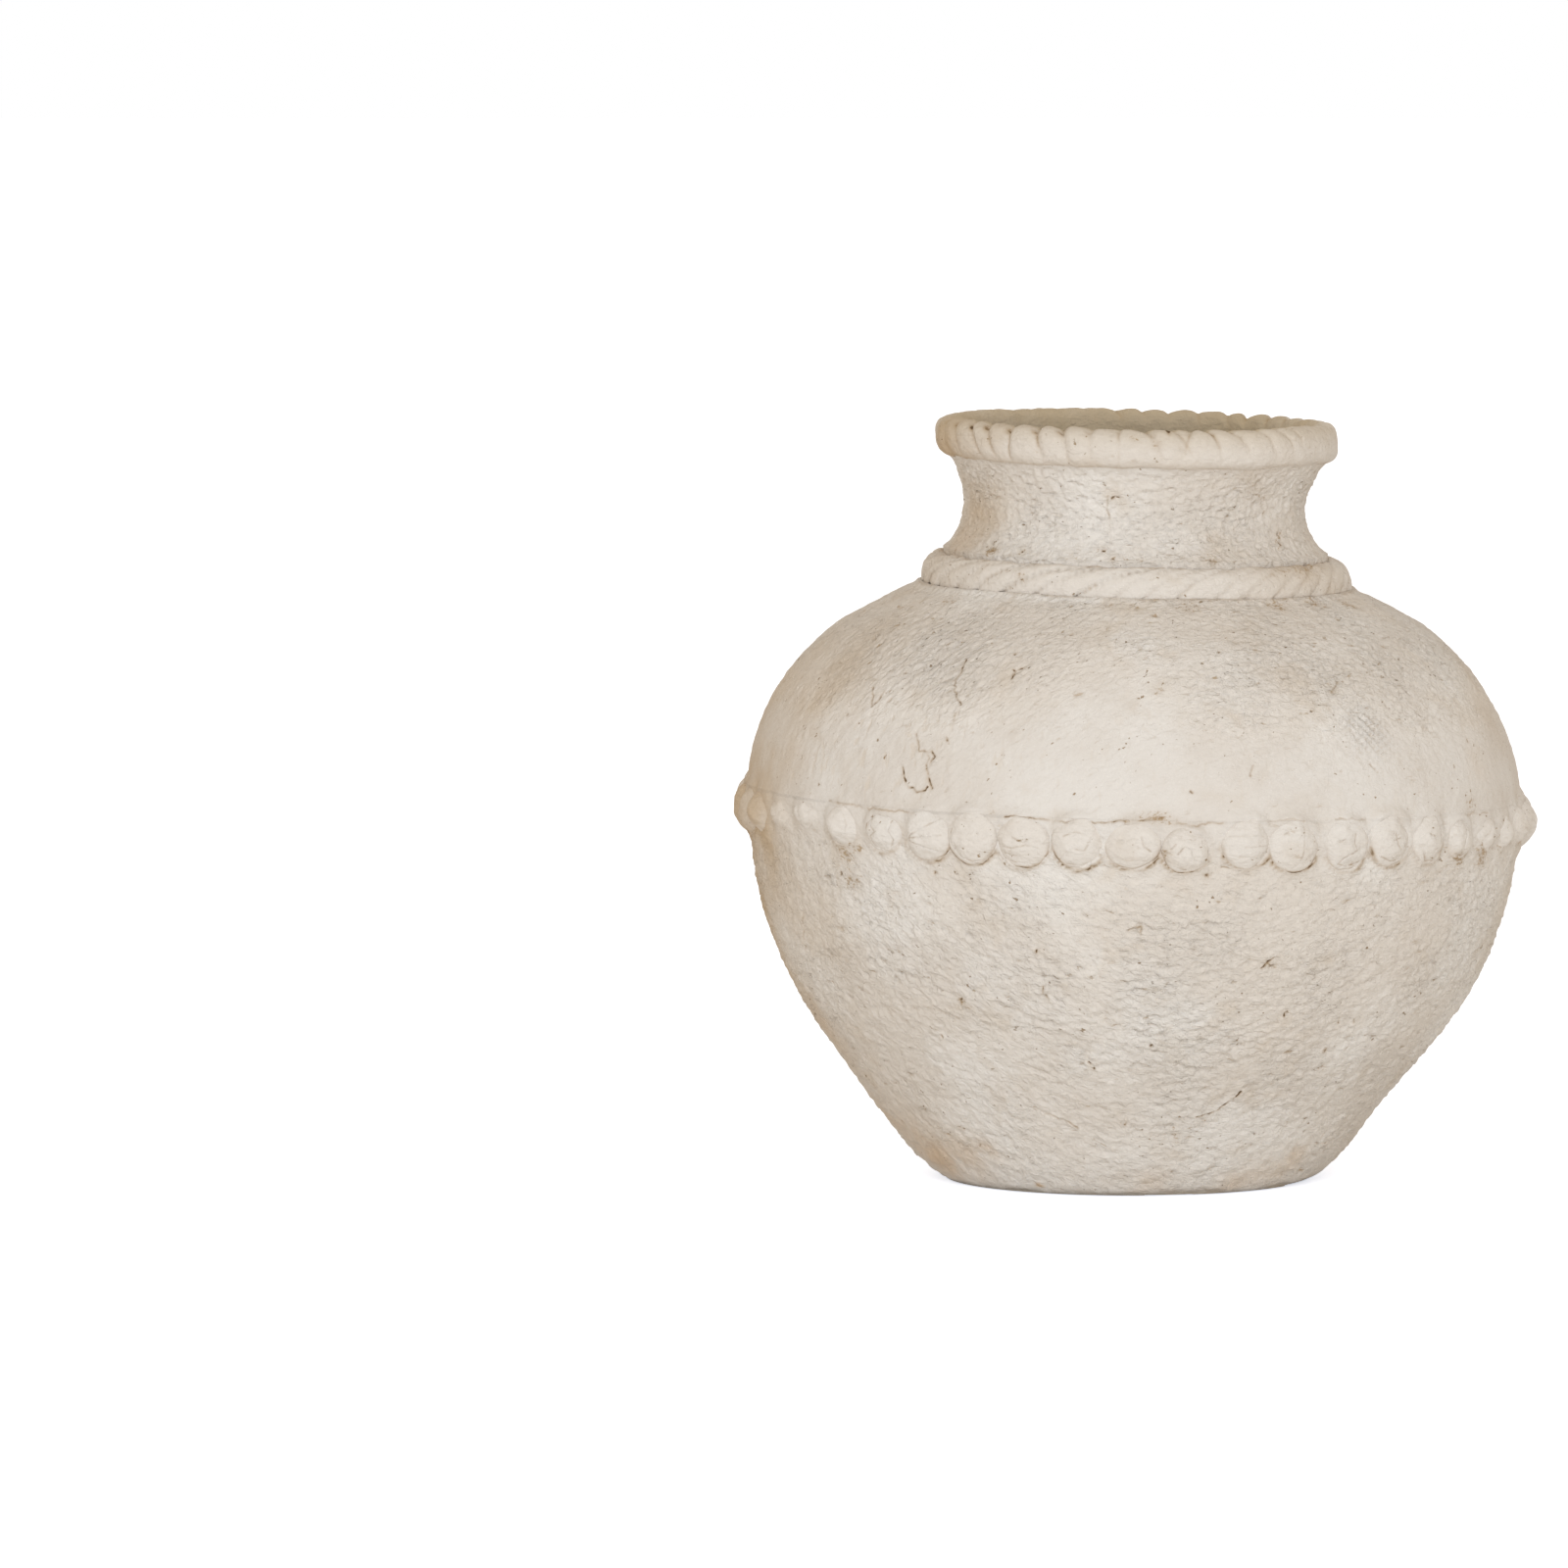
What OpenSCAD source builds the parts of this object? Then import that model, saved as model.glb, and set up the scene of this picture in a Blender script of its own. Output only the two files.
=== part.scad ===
// Beaded vase in whitewashed terracotta, built from the clay pieces that a potter joins:
// a bowl, a shoulder, a neck, two twisted ropes and a row of pressed beads.
// The origin is the centre of the foot, on the ground. Lengths are in millimetres.

/* [Body] */
// Radius of the body at its widest line, without the beads
girdle_radius = 173; // [160:0.5:186]
// Height of the widest line above the ground
girdle_height = 165; // [150:0.5:180]
// Height of the straight, cone-shaped part of the bowl
cone_height = 66; // [50:0.5:82]
// Lean of the cone-shaped part from upright, in degrees
cone_lean = 38; // [34:0.5:42]
// Rise of the shoulder, from the widest line to the ledge that carries the neck
shoulder_rise = 100; // [88:0.5:112]
// Thickness of the walls
wall = 9; // [7:0.1:11]
// Thickness of the bowl's floor
floor_thickness = 11; // [8:0.5:15]
// Radius of the worn, rounded edge of the foot
foot_round = 14; // [6:0.5:18]

/* [Neck] */
// Outer radius of the neck at its waist
waist_radius = 77; // [68:0.5:86]
// Height of the waist above the ledge
waist_rise = 37; // [32:0.5:42]
// Height of the neck's lip above the waist
lip_rise = 21.5; // [18:0.5:23]
// Radius of the hollow curve of the neck's outside
cove_radius = 26.5; // [25:0.5:30]
// How far the neck's foot stands out from its waist
foot_flare = 9.5; // [8:0.5:12]

/* [Rim rope] */
// Width of the rim rope, from the mouth to its outside
rim_width = 16; // [13:0.5:19]
// Height of the rim rope
rim_height = 17.5; // [15:0.5:21]
// Spacing of the rim rope's strands along its outside
rim_strand = 13.5; // [10:0.5:18]
// Depth of the grooves between the rim rope's strands
rim_groove = 1.6; // [0.8:0.1:2.4]

/* [Collar rope] */
// Width of the collar rope, from the neck to its outside
collar_width = 11; // [9:0.5:13]
// Height of the collar rope
collar_height = 15; // [13:0.5:17]
// Spacing of the collar rope's strands along its outside
collar_strand = 16; // [12:0.5:22]
// Depth of the grooves between the collar rope's strands
collar_groove = 1.1; // [0.5:0.1:1.8]
// Bare strip of the ledge outside the collar rope
ledge_margin = 2.5; // [0.5:0.5:5]

/* [Beads] */
// Radius of a bead
bead_radius = 11; // [10:0.1:13]
// How far the beads stand out from the body
bead_proud = 8; // [6:0.1:10]
// Height of the widest line above the beads' centres
bead_drop = 1; // [0:0.5:4]
// Least gap between neighbouring beads
bead_gap = 1; // [0.5:0.1:3]
// Turn of the first bead from the front of the vase, in degrees
bead_turn = -1.5; // [-4:0.5:4]

/* [Joints] */
// Height of the tongue that keys each piece to the next
lap_height = 6; // [4:0.5:9]
// Gap that the slip fills beside a tongue
slip_gap = 0.3; // [0.1:0.05:0.6]

/* [Hidden] */
clay = [0.87, 0.82, 0.75];
washed_clay = [0.90, 0.86, 0.80];
$fn = 96;
arc_step = 2;           // degrees between the points of a curved wall
strand_rings = 6;       // rings of points across one strand of a rope
rope_points = 10;       // points round the rounded part of a rope
rim_fullness = 2.6;     // 2 makes a rope's section an ellipse, more makes it squarer
collar_fullness = 2.1;
rim_middle = [0.5, 0.5];        // where a rope's section is widest and tallest, as shares of its size
collar_middle = [0.25, 0.3];
rim_lean = -0.5;        // strands that the rim rope's grooves shift by, over half a turn of its section
collar_lean = 2.5;      // the same for the collar rope, which is twisted the other way

// Body: a cone that runs into one arc below the girdle, and another arc above it
bowl_arc = (girdle_height - cone_height) / sin(cone_lean);
bowl_centre = [girdle_radius - bowl_arc, girdle_height];
foot_radius = girdle_radius - bowl_arc * (1 - cos(cone_lean)) - cone_height * tan(cone_lean);
foot_round_reach = foot_round * tan(45 - cone_lean / 2);    // from the edge's corner to where its round starts
tongue = wall / 2;
seam_height = girdle_height - bead_drop + bead_radius;
lap_top = seam_height + lap_height;

// Neck: a cove between a foot that stands on the ledge and a lip that carries the rim
ledge_height = girdle_height + shoulder_rise;
neck_foot_radius = waist_radius + foot_flare;
neck_foot_bore = neck_foot_radius - wall;
spigot_radius = neck_foot_bore + tongue;
opening_radius = spigot_radius + slip_gap;
lip_height = ledge_height + waist_rise + lip_rise;
cove_centre = [waist_radius + cove_radius, ledge_height + waist_rise];
mouth_radius = cove_at_height(cove_radius + wall, lip_height);

// Shoulder: the arc from the girdle to the rim of the ledge
ledge_radius = neck_foot_radius + collar_width + ledge_margin;
shoulder_inset = girdle_radius - ledge_radius;
shoulder_arc = (pow(shoulder_inset, 2) + pow(shoulder_rise, 2)) / (2 * shoulder_inset);
shoulder_centre = [girdle_radius - shoulder_arc, girdle_height];

// Beads: as many as fit round the body
bead_ring_radius = girdle_radius + bead_proud - bead_radius;
bead_height = girdle_height - bead_drop;
bead_count = floor(180 / asin((bead_radius + bead_gap / 2) / bead_ring_radius));

rim_strands = round(2 * PI * (mouth_radius + rim_width) / rim_strand);
collar_strands = round(2 * PI * (neck_foot_radius + collar_width) / collar_strand);

function bead_name(i) = str("bead_", i < 10 ? "0" : "", i);

// Points along an arc, from one angle to another
function arc(centre, radius, from, to) =
    let (steps = ceil(abs(to - from) / arc_step))
    [for (i = [0:steps]) centre + radius * [cos(from + (to - from) * i / steps),
                                            sin(from + (to - from) * i / steps)]];

// Angle, from level, at which an arc reaches a height
function arc_angle(centre, radius, height) = asin((height - centre.y) / radius);

// Radius of the neck at a height, on an arc round the cove's centre
function cove_at_height(radius, height) =
    cove_centre.x - sqrt(pow(radius, 2) - pow(height - cove_centre.y, 2));

// Height at which an arc round the cove's centre has a given radius, below the waist
function cove_at_radius(radius, outer) =
    cove_centre.y - sqrt(pow(radius, 2) - pow(cove_centre.x - outer, 2));

// Line of the shoulder's arc between two heights, set in from the outside
function shoulder_line(inset, from, to) =
    let (radius = shoulder_arc - inset)
    arc(shoulder_centre, radius,
        arc_angle(shoulder_centre, radius, from), arc_angle(shoulder_centre, radius, to));

// Line of the bowl's arc between the cone and the girdle, set in from the outside
function bowl_line(inset, from = -cone_lean, to = 0) = arc(bowl_centre, bowl_arc - inset, from, to);

// Outside of the bowl from the foot to the seam
function bowl_outside() = concat(
    arc([foot_radius - foot_round_reach, foot_round], foot_round, -90, -cone_lean),
    bowl_line(0),
    rest(shoulder_line(0, girdle_height, seam_height))
);

// Radius of the bowl's inside at the floor
function floor_radius() =
    foot_radius + floor_thickness * tan(cone_lean) - wall / cos(cone_lean);

// The line of points without its first one
function rest(line) = [for (i = [1:len(line) - 1]) line[i]];

module lower_bowl() {
    color(clay) rotate_extrude() polygon(concat(
        [[0, 0]],
        bowl_outside(),
        shoulder_line(wall - tongue, seam_height, lap_top),
        shoulder_line(wall, lap_top, girdle_height),
        rest(bowl_line(wall, 0, -cone_lean)),
        [[floor_radius(), floor_thickness], [0, floor_thickness]]
    ));
}

module shoulder() {
    inner_arc = shoulder_arc - wall;
    color(clay) rotate_extrude() polygon(concat(
        shoulder_line(0, seam_height, ledge_height),
        [[opening_radius, ledge_height]],
        arc(shoulder_centre, inner_arc,
            acos((opening_radius - shoulder_centre.x) / inner_arc),
            arc_angle(shoulder_centre, inner_arc, lap_top + slip_gap)),
        shoulder_line(wall - tongue - slip_gap, lap_top + slip_gap, seam_height)
    ));
}

module neck() {
    inner_cove = cove_radius + wall;
    foot_top = cove_at_radius(cove_radius, neck_foot_radius);
    bore_top = cove_at_radius(inner_cove, neck_foot_bore);
    tongue_radius = mouth_radius + tongue;
    color(clay) rotate_extrude() polygon(concat(
        [[neck_foot_radius, ledge_height]],
        arc(cove_centre, cove_radius,
            180 - arc_angle(cove_centre, cove_radius, foot_top),
            180 - arc_angle(cove_centre, cove_radius, lip_height)),
        [[tongue_radius, lip_height], [tongue_radius, lip_height + lap_height]],
        [[mouth_radius, lip_height + lap_height]],
        arc(cove_centre, inner_cove,
            180 - arc_angle(cove_centre, inner_cove, lip_height),
            180 - arc_angle(cove_centre, inner_cove, bore_top)),
        [[neck_foot_bore, ledge_height - lap_height]],
        [[spigot_radius, ledge_height - lap_height], [spigot_radius, ledge_height]]
    ));
}

// A number raised to a power with its sign kept
function signed_power(x, power) = sign(x) * pow(abs(x), power);

// Depth of a groove across one strand: 1 in the groove, 0 on the strand's crest
function groove_shape(share) = 1 - sqrt(abs(sin(180 * share)));

// Closed ring with slanting grooves. Its section, in [radius, height], fills a box from low to high.
// It has plain seat points below and inside, and is rounded from its underside over the top.
module rope(seat, low, high, middle, fullness, strands, groove, lean) {
    rings = strands * strand_rings;
    centre = [for (axis = [0, 1]) low[axis] + middle[axis] * (high[axis] - low[axis])];
    size = len(seat) + rope_points + 1;
    shift = round(1.5 * lean * strand_rings);   // rings between the two ends of a groove
    points = [for (ring = [0:rings - 1], k = [0:size - 1])
        let (
            rounded = k < len(seat) ? 0 : k - len(seat),
            way = rounded / rope_points,
            angle = -90 + 270 * way,
            reach = [cos(angle) > 0 ? high.x - centre.x : centre.x - low.x,
                     sin(angle) > 0 ? high.y - centre.y : centre.y - low.y],
            turn = 360 * (ring / strand_rings + lean * angle / 180) / strands,
            fade = min(1, 4 * way, 4 * (1 - way)),
            cut = 1 - groove / (high.x - centre.x) * fade * groove_shape(ring / strand_rings),
            flat = k < len(seat) ? seat[k] : centre + cut * [
                reach.x * signed_power(cos(angle), 2 / fullness),
                reach.y * signed_power(sin(angle), 2 / fullness)]
        )
        [flat.x * cos(turn), flat.x * sin(turn), flat.y]];
    faces = [for (ring = [0:rings - 1], k = [0:size - 1], half = [0, 1])
        let (
            here = ring * size + k,
            next = (ring + 1) % rings * size + k,
            closing = k == size - 1,
            across = closing ? (ring + shift + rings) % rings * size : here + 1,
            beyond = closing ? (ring + shift + rings + 1) % rings * size : next + 1
        )
        half == 0 ? [here, across, beyond] : [here, beyond, next]];
    color(washed_clay) polyhedron(points, faces);
}

module collar_rope() {
    low = [neck_foot_radius + slip_gap, ledge_height];
    rope(
        seat = [low],
        low = low, high = [neck_foot_radius + collar_width, ledge_height + collar_height],
        middle = collar_middle, fullness = collar_fullness,
        strands = collar_strands, groove = collar_groove, lean = collar_lean);
}

module rim_rope() {
    notch = [mouth_radius + tongue + slip_gap, lip_height + lap_height + slip_gap];
    rope(
        seat = [[mouth_radius, notch.y], notch, [notch.x, lip_height]],
        low = [mouth_radius, lip_height], high = [mouth_radius + rim_width, lip_height + rim_height],
        middle = rim_middle, fullness = rim_fullness,
        strands = rim_strands, groove = rim_groove, lean = rim_lean);
}

// Solid inside of the body's outer face round the girdle, which the beads are pressed against
module girdle_core() {
    line = [for (p = concat(bowl_outside(), rest(shoulder_line(0, seam_height, ledge_height))))
        if (abs(p.y - bead_height) < 2 * bead_radius) p];
    rotate_extrude($fn = 360) polygon(concat([[0, line[0].y]], line, [[0, line[len(line) - 1].y]]));
}

// One bead of the row, which starts near the front and runs to the right
module bead(i) {
    color(washed_clay) difference() {
        rotate(bead_turn + 360 * (i - 1) / bead_count - 90) translate([bead_ring_radius, 0, bead_height])
            sphere(bead_radius);
        girdle_core();
    }
}

lower_bowl();
shoulder();
neck();
collar_rope();
rim_rope();
for (i = [1:bead_count]) {
    bead(i);
}
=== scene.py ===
import math
import random
from bisect import bisect_right
from functools import lru_cache

import bmesh
import bpy
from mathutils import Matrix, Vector, kdtree, noise


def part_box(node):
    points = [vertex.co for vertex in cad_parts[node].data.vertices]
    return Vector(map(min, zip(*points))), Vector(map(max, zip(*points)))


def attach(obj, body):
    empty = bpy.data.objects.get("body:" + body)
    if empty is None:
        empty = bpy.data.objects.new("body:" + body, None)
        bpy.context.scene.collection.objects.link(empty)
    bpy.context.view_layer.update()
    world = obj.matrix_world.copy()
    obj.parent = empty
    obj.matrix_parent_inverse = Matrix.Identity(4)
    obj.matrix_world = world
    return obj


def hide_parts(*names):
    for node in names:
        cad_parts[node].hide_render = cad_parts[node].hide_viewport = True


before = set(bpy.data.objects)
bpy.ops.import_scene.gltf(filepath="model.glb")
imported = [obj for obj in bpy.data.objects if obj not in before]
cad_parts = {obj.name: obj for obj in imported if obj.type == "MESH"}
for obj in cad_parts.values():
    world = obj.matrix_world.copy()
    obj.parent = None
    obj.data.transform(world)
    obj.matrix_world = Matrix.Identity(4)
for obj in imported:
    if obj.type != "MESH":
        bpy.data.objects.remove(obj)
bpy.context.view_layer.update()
print("frame loaded:", len(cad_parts), "solids")

# Everything is modelled in millimetres, as the solids are, and turned into metres at the end.
# Angles on the vase are in degrees from its front, growing to the right.
metresPerMm = 0.001
up = Vector((0, 0, 1))


def solidBox(node):
    low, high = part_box(node)
    return low / metresPerMm, high / metresPerMm


bowlHigh = solidBox("lower_bowl")[1]
shoulderLow, shoulderHigh = solidBox("shoulder")
collarHigh = solidBox("collar_rope")[1]
rimLow, rimHigh = solidBox("rim_rope")
beadLow, beadHigh = solidBox("bead_01")
beadNodes = sorted(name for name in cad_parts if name.startswith("bead_"))


def ease(low, high, value):
    share = min(1, max(0, (value - low) / (high - low)))
    return share * share * (3 - 2 * share)


def follow(rows, place):  # a smooth line through rows of (place, amount)
    for (start, first), (end, last) in zip(rows, rows[1:]):
        if place <= end:
            return first + (last - first) * ease(start, end, place)
    return rows[-1][1]


def bump(distance, width):
    return math.exp(-(distance / width) ** 2)


def frontAngle(place):
    return math.degrees(math.atan2(place.x, -place.y))


def lumps(place, size, seed=0):
    return noise.noise(place / size + Vector((seed, 2 * seed, -seed)))


def halfTurn(angle):  # the same angle, from -180 to 180
    return (angle + 180) % 360 - 180


def patchy(place, size, seed, low=-0.3, high=0.3):  # 0 to 1, in ragged patches
    return ease(low, high, lumps(place, size, seed))


# The vase leans a little, as it came off the wheel
settle = {
    "dip": math.tan(math.radians(1.2)),  # rings above the girdle are lower on the right
    "dipFrom": 20,
    "dipFull": 150,
    "drift": [(0, -1.2), (30, -1.8), (62, -0.3), (105, 0.2), (162, 1.0), (185, 1.1), (218, 1.0), (240, 2.0),
              (256, 3.1), (266, 2.0), (300, 1.1), (324, 2.2), (341, 1.8)],
    "oval": 0.8,
    "ovalFull": 120,
    "ovalTurn": 0.7,
    "least": 40,  # places nearer the axis don't go oval
}


@lru_cache(maxsize=None)
def settleAt(height):  # sideways drift, dip to the right and ovalness at a height
    dip = settle["dip"] * ease(settle["dipFrom"], settle["dipFull"], height)
    return follow(settle["drift"], height), dip, settle["oval"] * ease(0, settle["ovalFull"], height)


def settled(place):
    drift, dip, oval = settleAt(round(place.z, 1))
    angle = math.atan2(place.x, -place.y)
    reach = max(math.hypot(place.x, place.y), settle["least"])
    grow = 1 + oval * math.cos(2 * angle + settle["ovalTurn"]) / reach
    return Vector((place.x * grow + drift, place.y * grow, place.z - place.x * dip))


# The wall: a cone that runs into one arc below the girdle, another arc above it, and the neck's cove
wall = {
    "girdleRadius": bowlHigh.x,
    "girdleHeight": 165,
    "coneHeight": 66,
    "coneLean": math.radians(38),
    "thickness": 9,
    "floor": 11,
    "footRound": 14,
    "seam": shoulderLow.z,
    "ledge": shoulderHigh.z,
    "ledgeRadius": collarHigh.x + 2.5,
    "waistRadius": 77,
    "waistHeight": shoulderHigh.z + 37,
    "cove": 26.5,
    "neckFoot": 86.5,
    "lip": rimLow.z,
    "fuller": [(165, 0), (182, 1.9), (205, 2.0), (225, 1.3), (245, 0.5), (257, -0.9), (266, 0),
               (312, 0), (323.5, -1.6)],
}
bowlArc = (wall["girdleHeight"] - wall["coneHeight"]) / math.sin(wall["coneLean"])
bowlCentre = wall["girdleRadius"] - bowlArc
coneFoot = bowlCentre + bowlArc * math.cos(wall["coneLean"])
footRadius = coneFoot - wall["coneHeight"] * math.tan(wall["coneLean"])
shoulderInset = wall["girdleRadius"] - wall["ledgeRadius"]
shoulderRise = wall["ledge"] - wall["girdleHeight"]
shoulderArc = (shoulderInset ** 2 + shoulderRise ** 2) / (2 * shoulderInset)
shoulderCentre = wall["girdleRadius"] - shoulderArc
coveCentre = wall["waistRadius"] + wall["cove"]
steepest = 0.95  # sine of the neck wall's greatest tilt


def wallAt(height):  # radius of the outer face, and the tilt of its outward normal above level
    if height < wall["coneHeight"]:
        return footRadius + height * math.tan(wall["coneLean"]), -wall["coneLean"]
    if height < wall["girdleHeight"]:
        tilt = math.asin((height - wall["girdleHeight"]) / bowlArc)
        return bowlCentre + bowlArc * math.cos(tilt), tilt
    if height < wall["ledge"]:
        tilt = math.asin((height - wall["girdleHeight"]) / shoulderArc)
        return shoulderCentre + shoulderArc * math.cos(tilt), tilt
    sine = (wall["waistHeight"] - height) / wall["cove"]
    tilt = math.asin(min(steepest, max(-steepest, sine)))
    return min(wall["neckFoot"], coveCentre - wall["cove"] * math.cos(tilt)), tilt


def onWall(angle, height, lift=0):
    radius, tilt = wallAt(height)
    radius += lift * math.cos(tilt)
    turn = math.radians(angle)
    return Vector((radius * math.sin(turn), -radius * math.cos(turn), height + lift * math.sin(tilt)))


def outward(place, tilt):
    flat = Vector((place.x, place.y, 0)).normalized()
    return flat * math.cos(tilt) + up * math.sin(tilt)


def arcLine(centre, radius, start, end, step):
    count = max(1, round(abs(end - start) * radius / step))
    turns = [start + (end - start) * i / count for i in range(count + 1)]
    return [(centre[0] + radius * math.cos(turn), centre[1] + radius * math.sin(turn)) for turn in turns]


def straightLine(start, end, step):
    count = max(1, round(math.dist(start, end) / step))
    return [tuple(a + (b - a) * i / count for a, b in zip(start, end)) for i in range(count + 1)]


# Thick wash, dabbed on: long dabs that sag, with sharp creases between them, over slow swells
wash = {
    "dabLength": 4.5,
    "dabHeight": 2.8,
    "dabDepth": 0.8,
    "waver": 2.2,  # dabs wander up and down
    "waverLength": 13,
    "finer": 0.3,  # dabs on the neck are smaller by this share
    "finerWithin": 8,
    "smallScale": 1.7,  # smaller dabs on the long ones
    "smallShare": 0.5,
    "smallShift": Vector((7, 3, 1)),
    "evenShare": 0.75,  # the rest of the depth comes and goes
    "evenLength": 34,
    "overhang": 0.45,  # a dab this far above, in its own height, casts a crease
    "overhangStep": (0.1, 0.5),
    "creaseDepth": 0.45,
    "creaseLength": 8,
    "sag": 0.75,  # how far a dab slides down for its thickness
    "sagFull": 12,
    "bowlSlant": 0.35,  # fall of the dabs on the left, by piece
    "shoulderSlant": -0.6,
    "slantReach": 40,
    "swell": 0.6,
    "swellLength": 46,
    "smallSwell": 0.45,
    "smallSwellLength": 21,
    "insideSwell": 1.6,
    "insideRough": 0.4,
    "rough": [(0, 0.7), (12, 0.9), (60, 1.0), (140, 1.0), (155, 0.75), (170, 0.45), (180, 0.3),
              (203, 0.45), (218, 0.95), (235, 1.3), (262, 1.35), (285, 1.15), (316, 1.0), (323, 0.6)],
    # rougher and smoother stretches: angle, height, half width, half height, share
    "rougher": [(42, 235, 50, 28, 0.1), (-48, 238, 36, 26, 0.3), (-8, 222, 42, 22, -0.5),
                (10, 90, 60, 40, 0.15)],
    "footWarmth": 0.07,  # bare clay tints the wash towards the foot
    "footWarmTo": 55,
    "footWarmChange": 1.2,
    "footWarmLength": 22,
    "strokeWidth": 2.4,  # upright brush strokes on the smooth band above the beads
    "strokeLength": 28,
    "strokeDepth": 0.35,
    "strokeBand": (172, 182, 212, 244),
    "strokeMiddle": -48,  # they show most on the left
    "strokeReach": 26,
    "strokeElsewhere": 0.45,
}


def fallOf(place):  # how far the dabs have run down on the left
    if place.z > wall["ledge"]:
        return 0
    slant = wash["bowlSlant"] if place.z < wall["seam"] else wash["shoulderSlant"]
    return slant * (place.x - math.hypot(place.x, wash["slantReach"])) / 2


def dabs(place, rough):  # lift in millimetres, how deep in a crease the place is, and how rough it is there
    level = place.z + fallOf(place) + wash["waver"] * lumps(place, wash["waverLength"])
    spot = Vector((place.x / wash["dabLength"], place.y / wash["dabLength"], level / wash["dabHeight"]))
    spot *= 1 + wash["finer"] * ease(wall["ledge"], wall["ledge"] + wash["finerWithin"], place.z)
    big = noise.noise(spot)
    overhead = noise.noise(spot + up * wash["overhang"])
    small = noise.noise(spot * wash["smallScale"] + wash["smallShift"])
    patch = wash["evenShare"] + (1 - wash["evenShare"]) * patchy(place, wash["evenLength"], 5, low=-0.4)
    broken = patchy(place, wash["creaseLength"], 9, high=0.25)
    depth = rough * patch
    crease = ease(*wash["overhangStep"], overhead - big) * broken * depth
    lift = depth * wash["dabDepth"] * (big + wash["smallShare"] * small)
    return lift - wash["creaseDepth"] * crease, crease, depth


def roughness(place):
    angle = frontAngle(place)
    rough = follow(wash["rough"], place.z)
    for middle, height, halfWidth, halfHeight, share in wash["rougher"]:
        across = math.radians(halfTurn(angle - middle)) * wall["girdleRadius"]
        rough *= 1 + share * bump(across, halfWidth) * bump(place.z - height, halfHeight)
    return rough


def swells(place):
    small = wash["smallSwell"] * lumps(place, wash["smallSwellLength"], 3)
    return wash["swell"] * (lumps(place, wash["swellLength"]) + small)


def brushed(place):  # how plainly the upright strokes show
    start, full, fade, end = wash["strokeBand"]
    if not start < place.z < end:
        return 0
    left = wash["strokeElsewhere"] + bump(frontAngle(place) - wash["strokeMiddle"], wash["strokeReach"])
    return left * ease(start, full, place.z) * (1 - ease(fade, end, place.z))


def brushing(place):
    width = wash["strokeWidth"]
    stroke = Vector((place.x / width, place.y / width, place.z / wash["strokeLength"]))
    return wash["strokeDepth"] * brushed(place) * noise.noise(stroke)


# Ripples of a finger or brush: angle, height, half width, half height, rise in degrees, spacing, depth
swipes = [
    (18.2, 75, 14, 8, 3, 2.0, 0.2),
    (27.5, 75.2, 12, 6, 25, 4.0, 0.3),
    (37.5, 213, 13, 12, -52, 3.4, 1.0),
    (-34, 238, 12, 10, 50, 3.8, 0.35),
    (148, 92, 14, 10, -8, 3.2, 0.35),
    (-140, 215, 12, 12, 45, 3.6, 0.4),
    (-118, 60, 14, 9, 15, 3.4, 0.35),
]
ripple = {
    "wander": 1.6,
    "wanderLength": 9,
    "dirt": 0.55,
    "dirtLength": 7,
    "trough": (-0.5, -1),  # where the dirt lies
    "close": 3,  # ripples closer than this need finer faces
    "fineSteps": 5,
    "fineReach": 1.6,
    "fineCuts": 1,
}
fadedOut = 2  # a patch is left out beyond this many of its radii


def swiped(place):  # lift, and the dirt between the ripples
    angle = frontAngle(place)
    lift, dirt = 0, 0
    for middle, height, halfWidth, halfHeight, rise, spacing, depth in swipes:
        above = place.z - height
        if abs(above) > fadedOut * halfHeight:
            continue
        across = math.radians(halfTurn(angle - middle)) * wallAt(height)[0]
        if abs(across) > fadedOut * halfWidth:
            continue
        window = bump(across, halfWidth) * bump(above, halfHeight)
        slope = math.radians(rise)
        off = above * math.cos(slope) - across * math.sin(slope)
        wander = ripple["wander"] * lumps(place, ripple["wanderLength"], 14)
        wave = math.sin(math.tau * off / spacing + wander)
        lift += depth * window * wave
        broken = patchy(place, ripple["dirtLength"], 16, low=-0.2)
        dirt += ripple["dirt"] * depth * window * ease(*ripple["trough"], wave) * broken
    return lift, dirt


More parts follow.
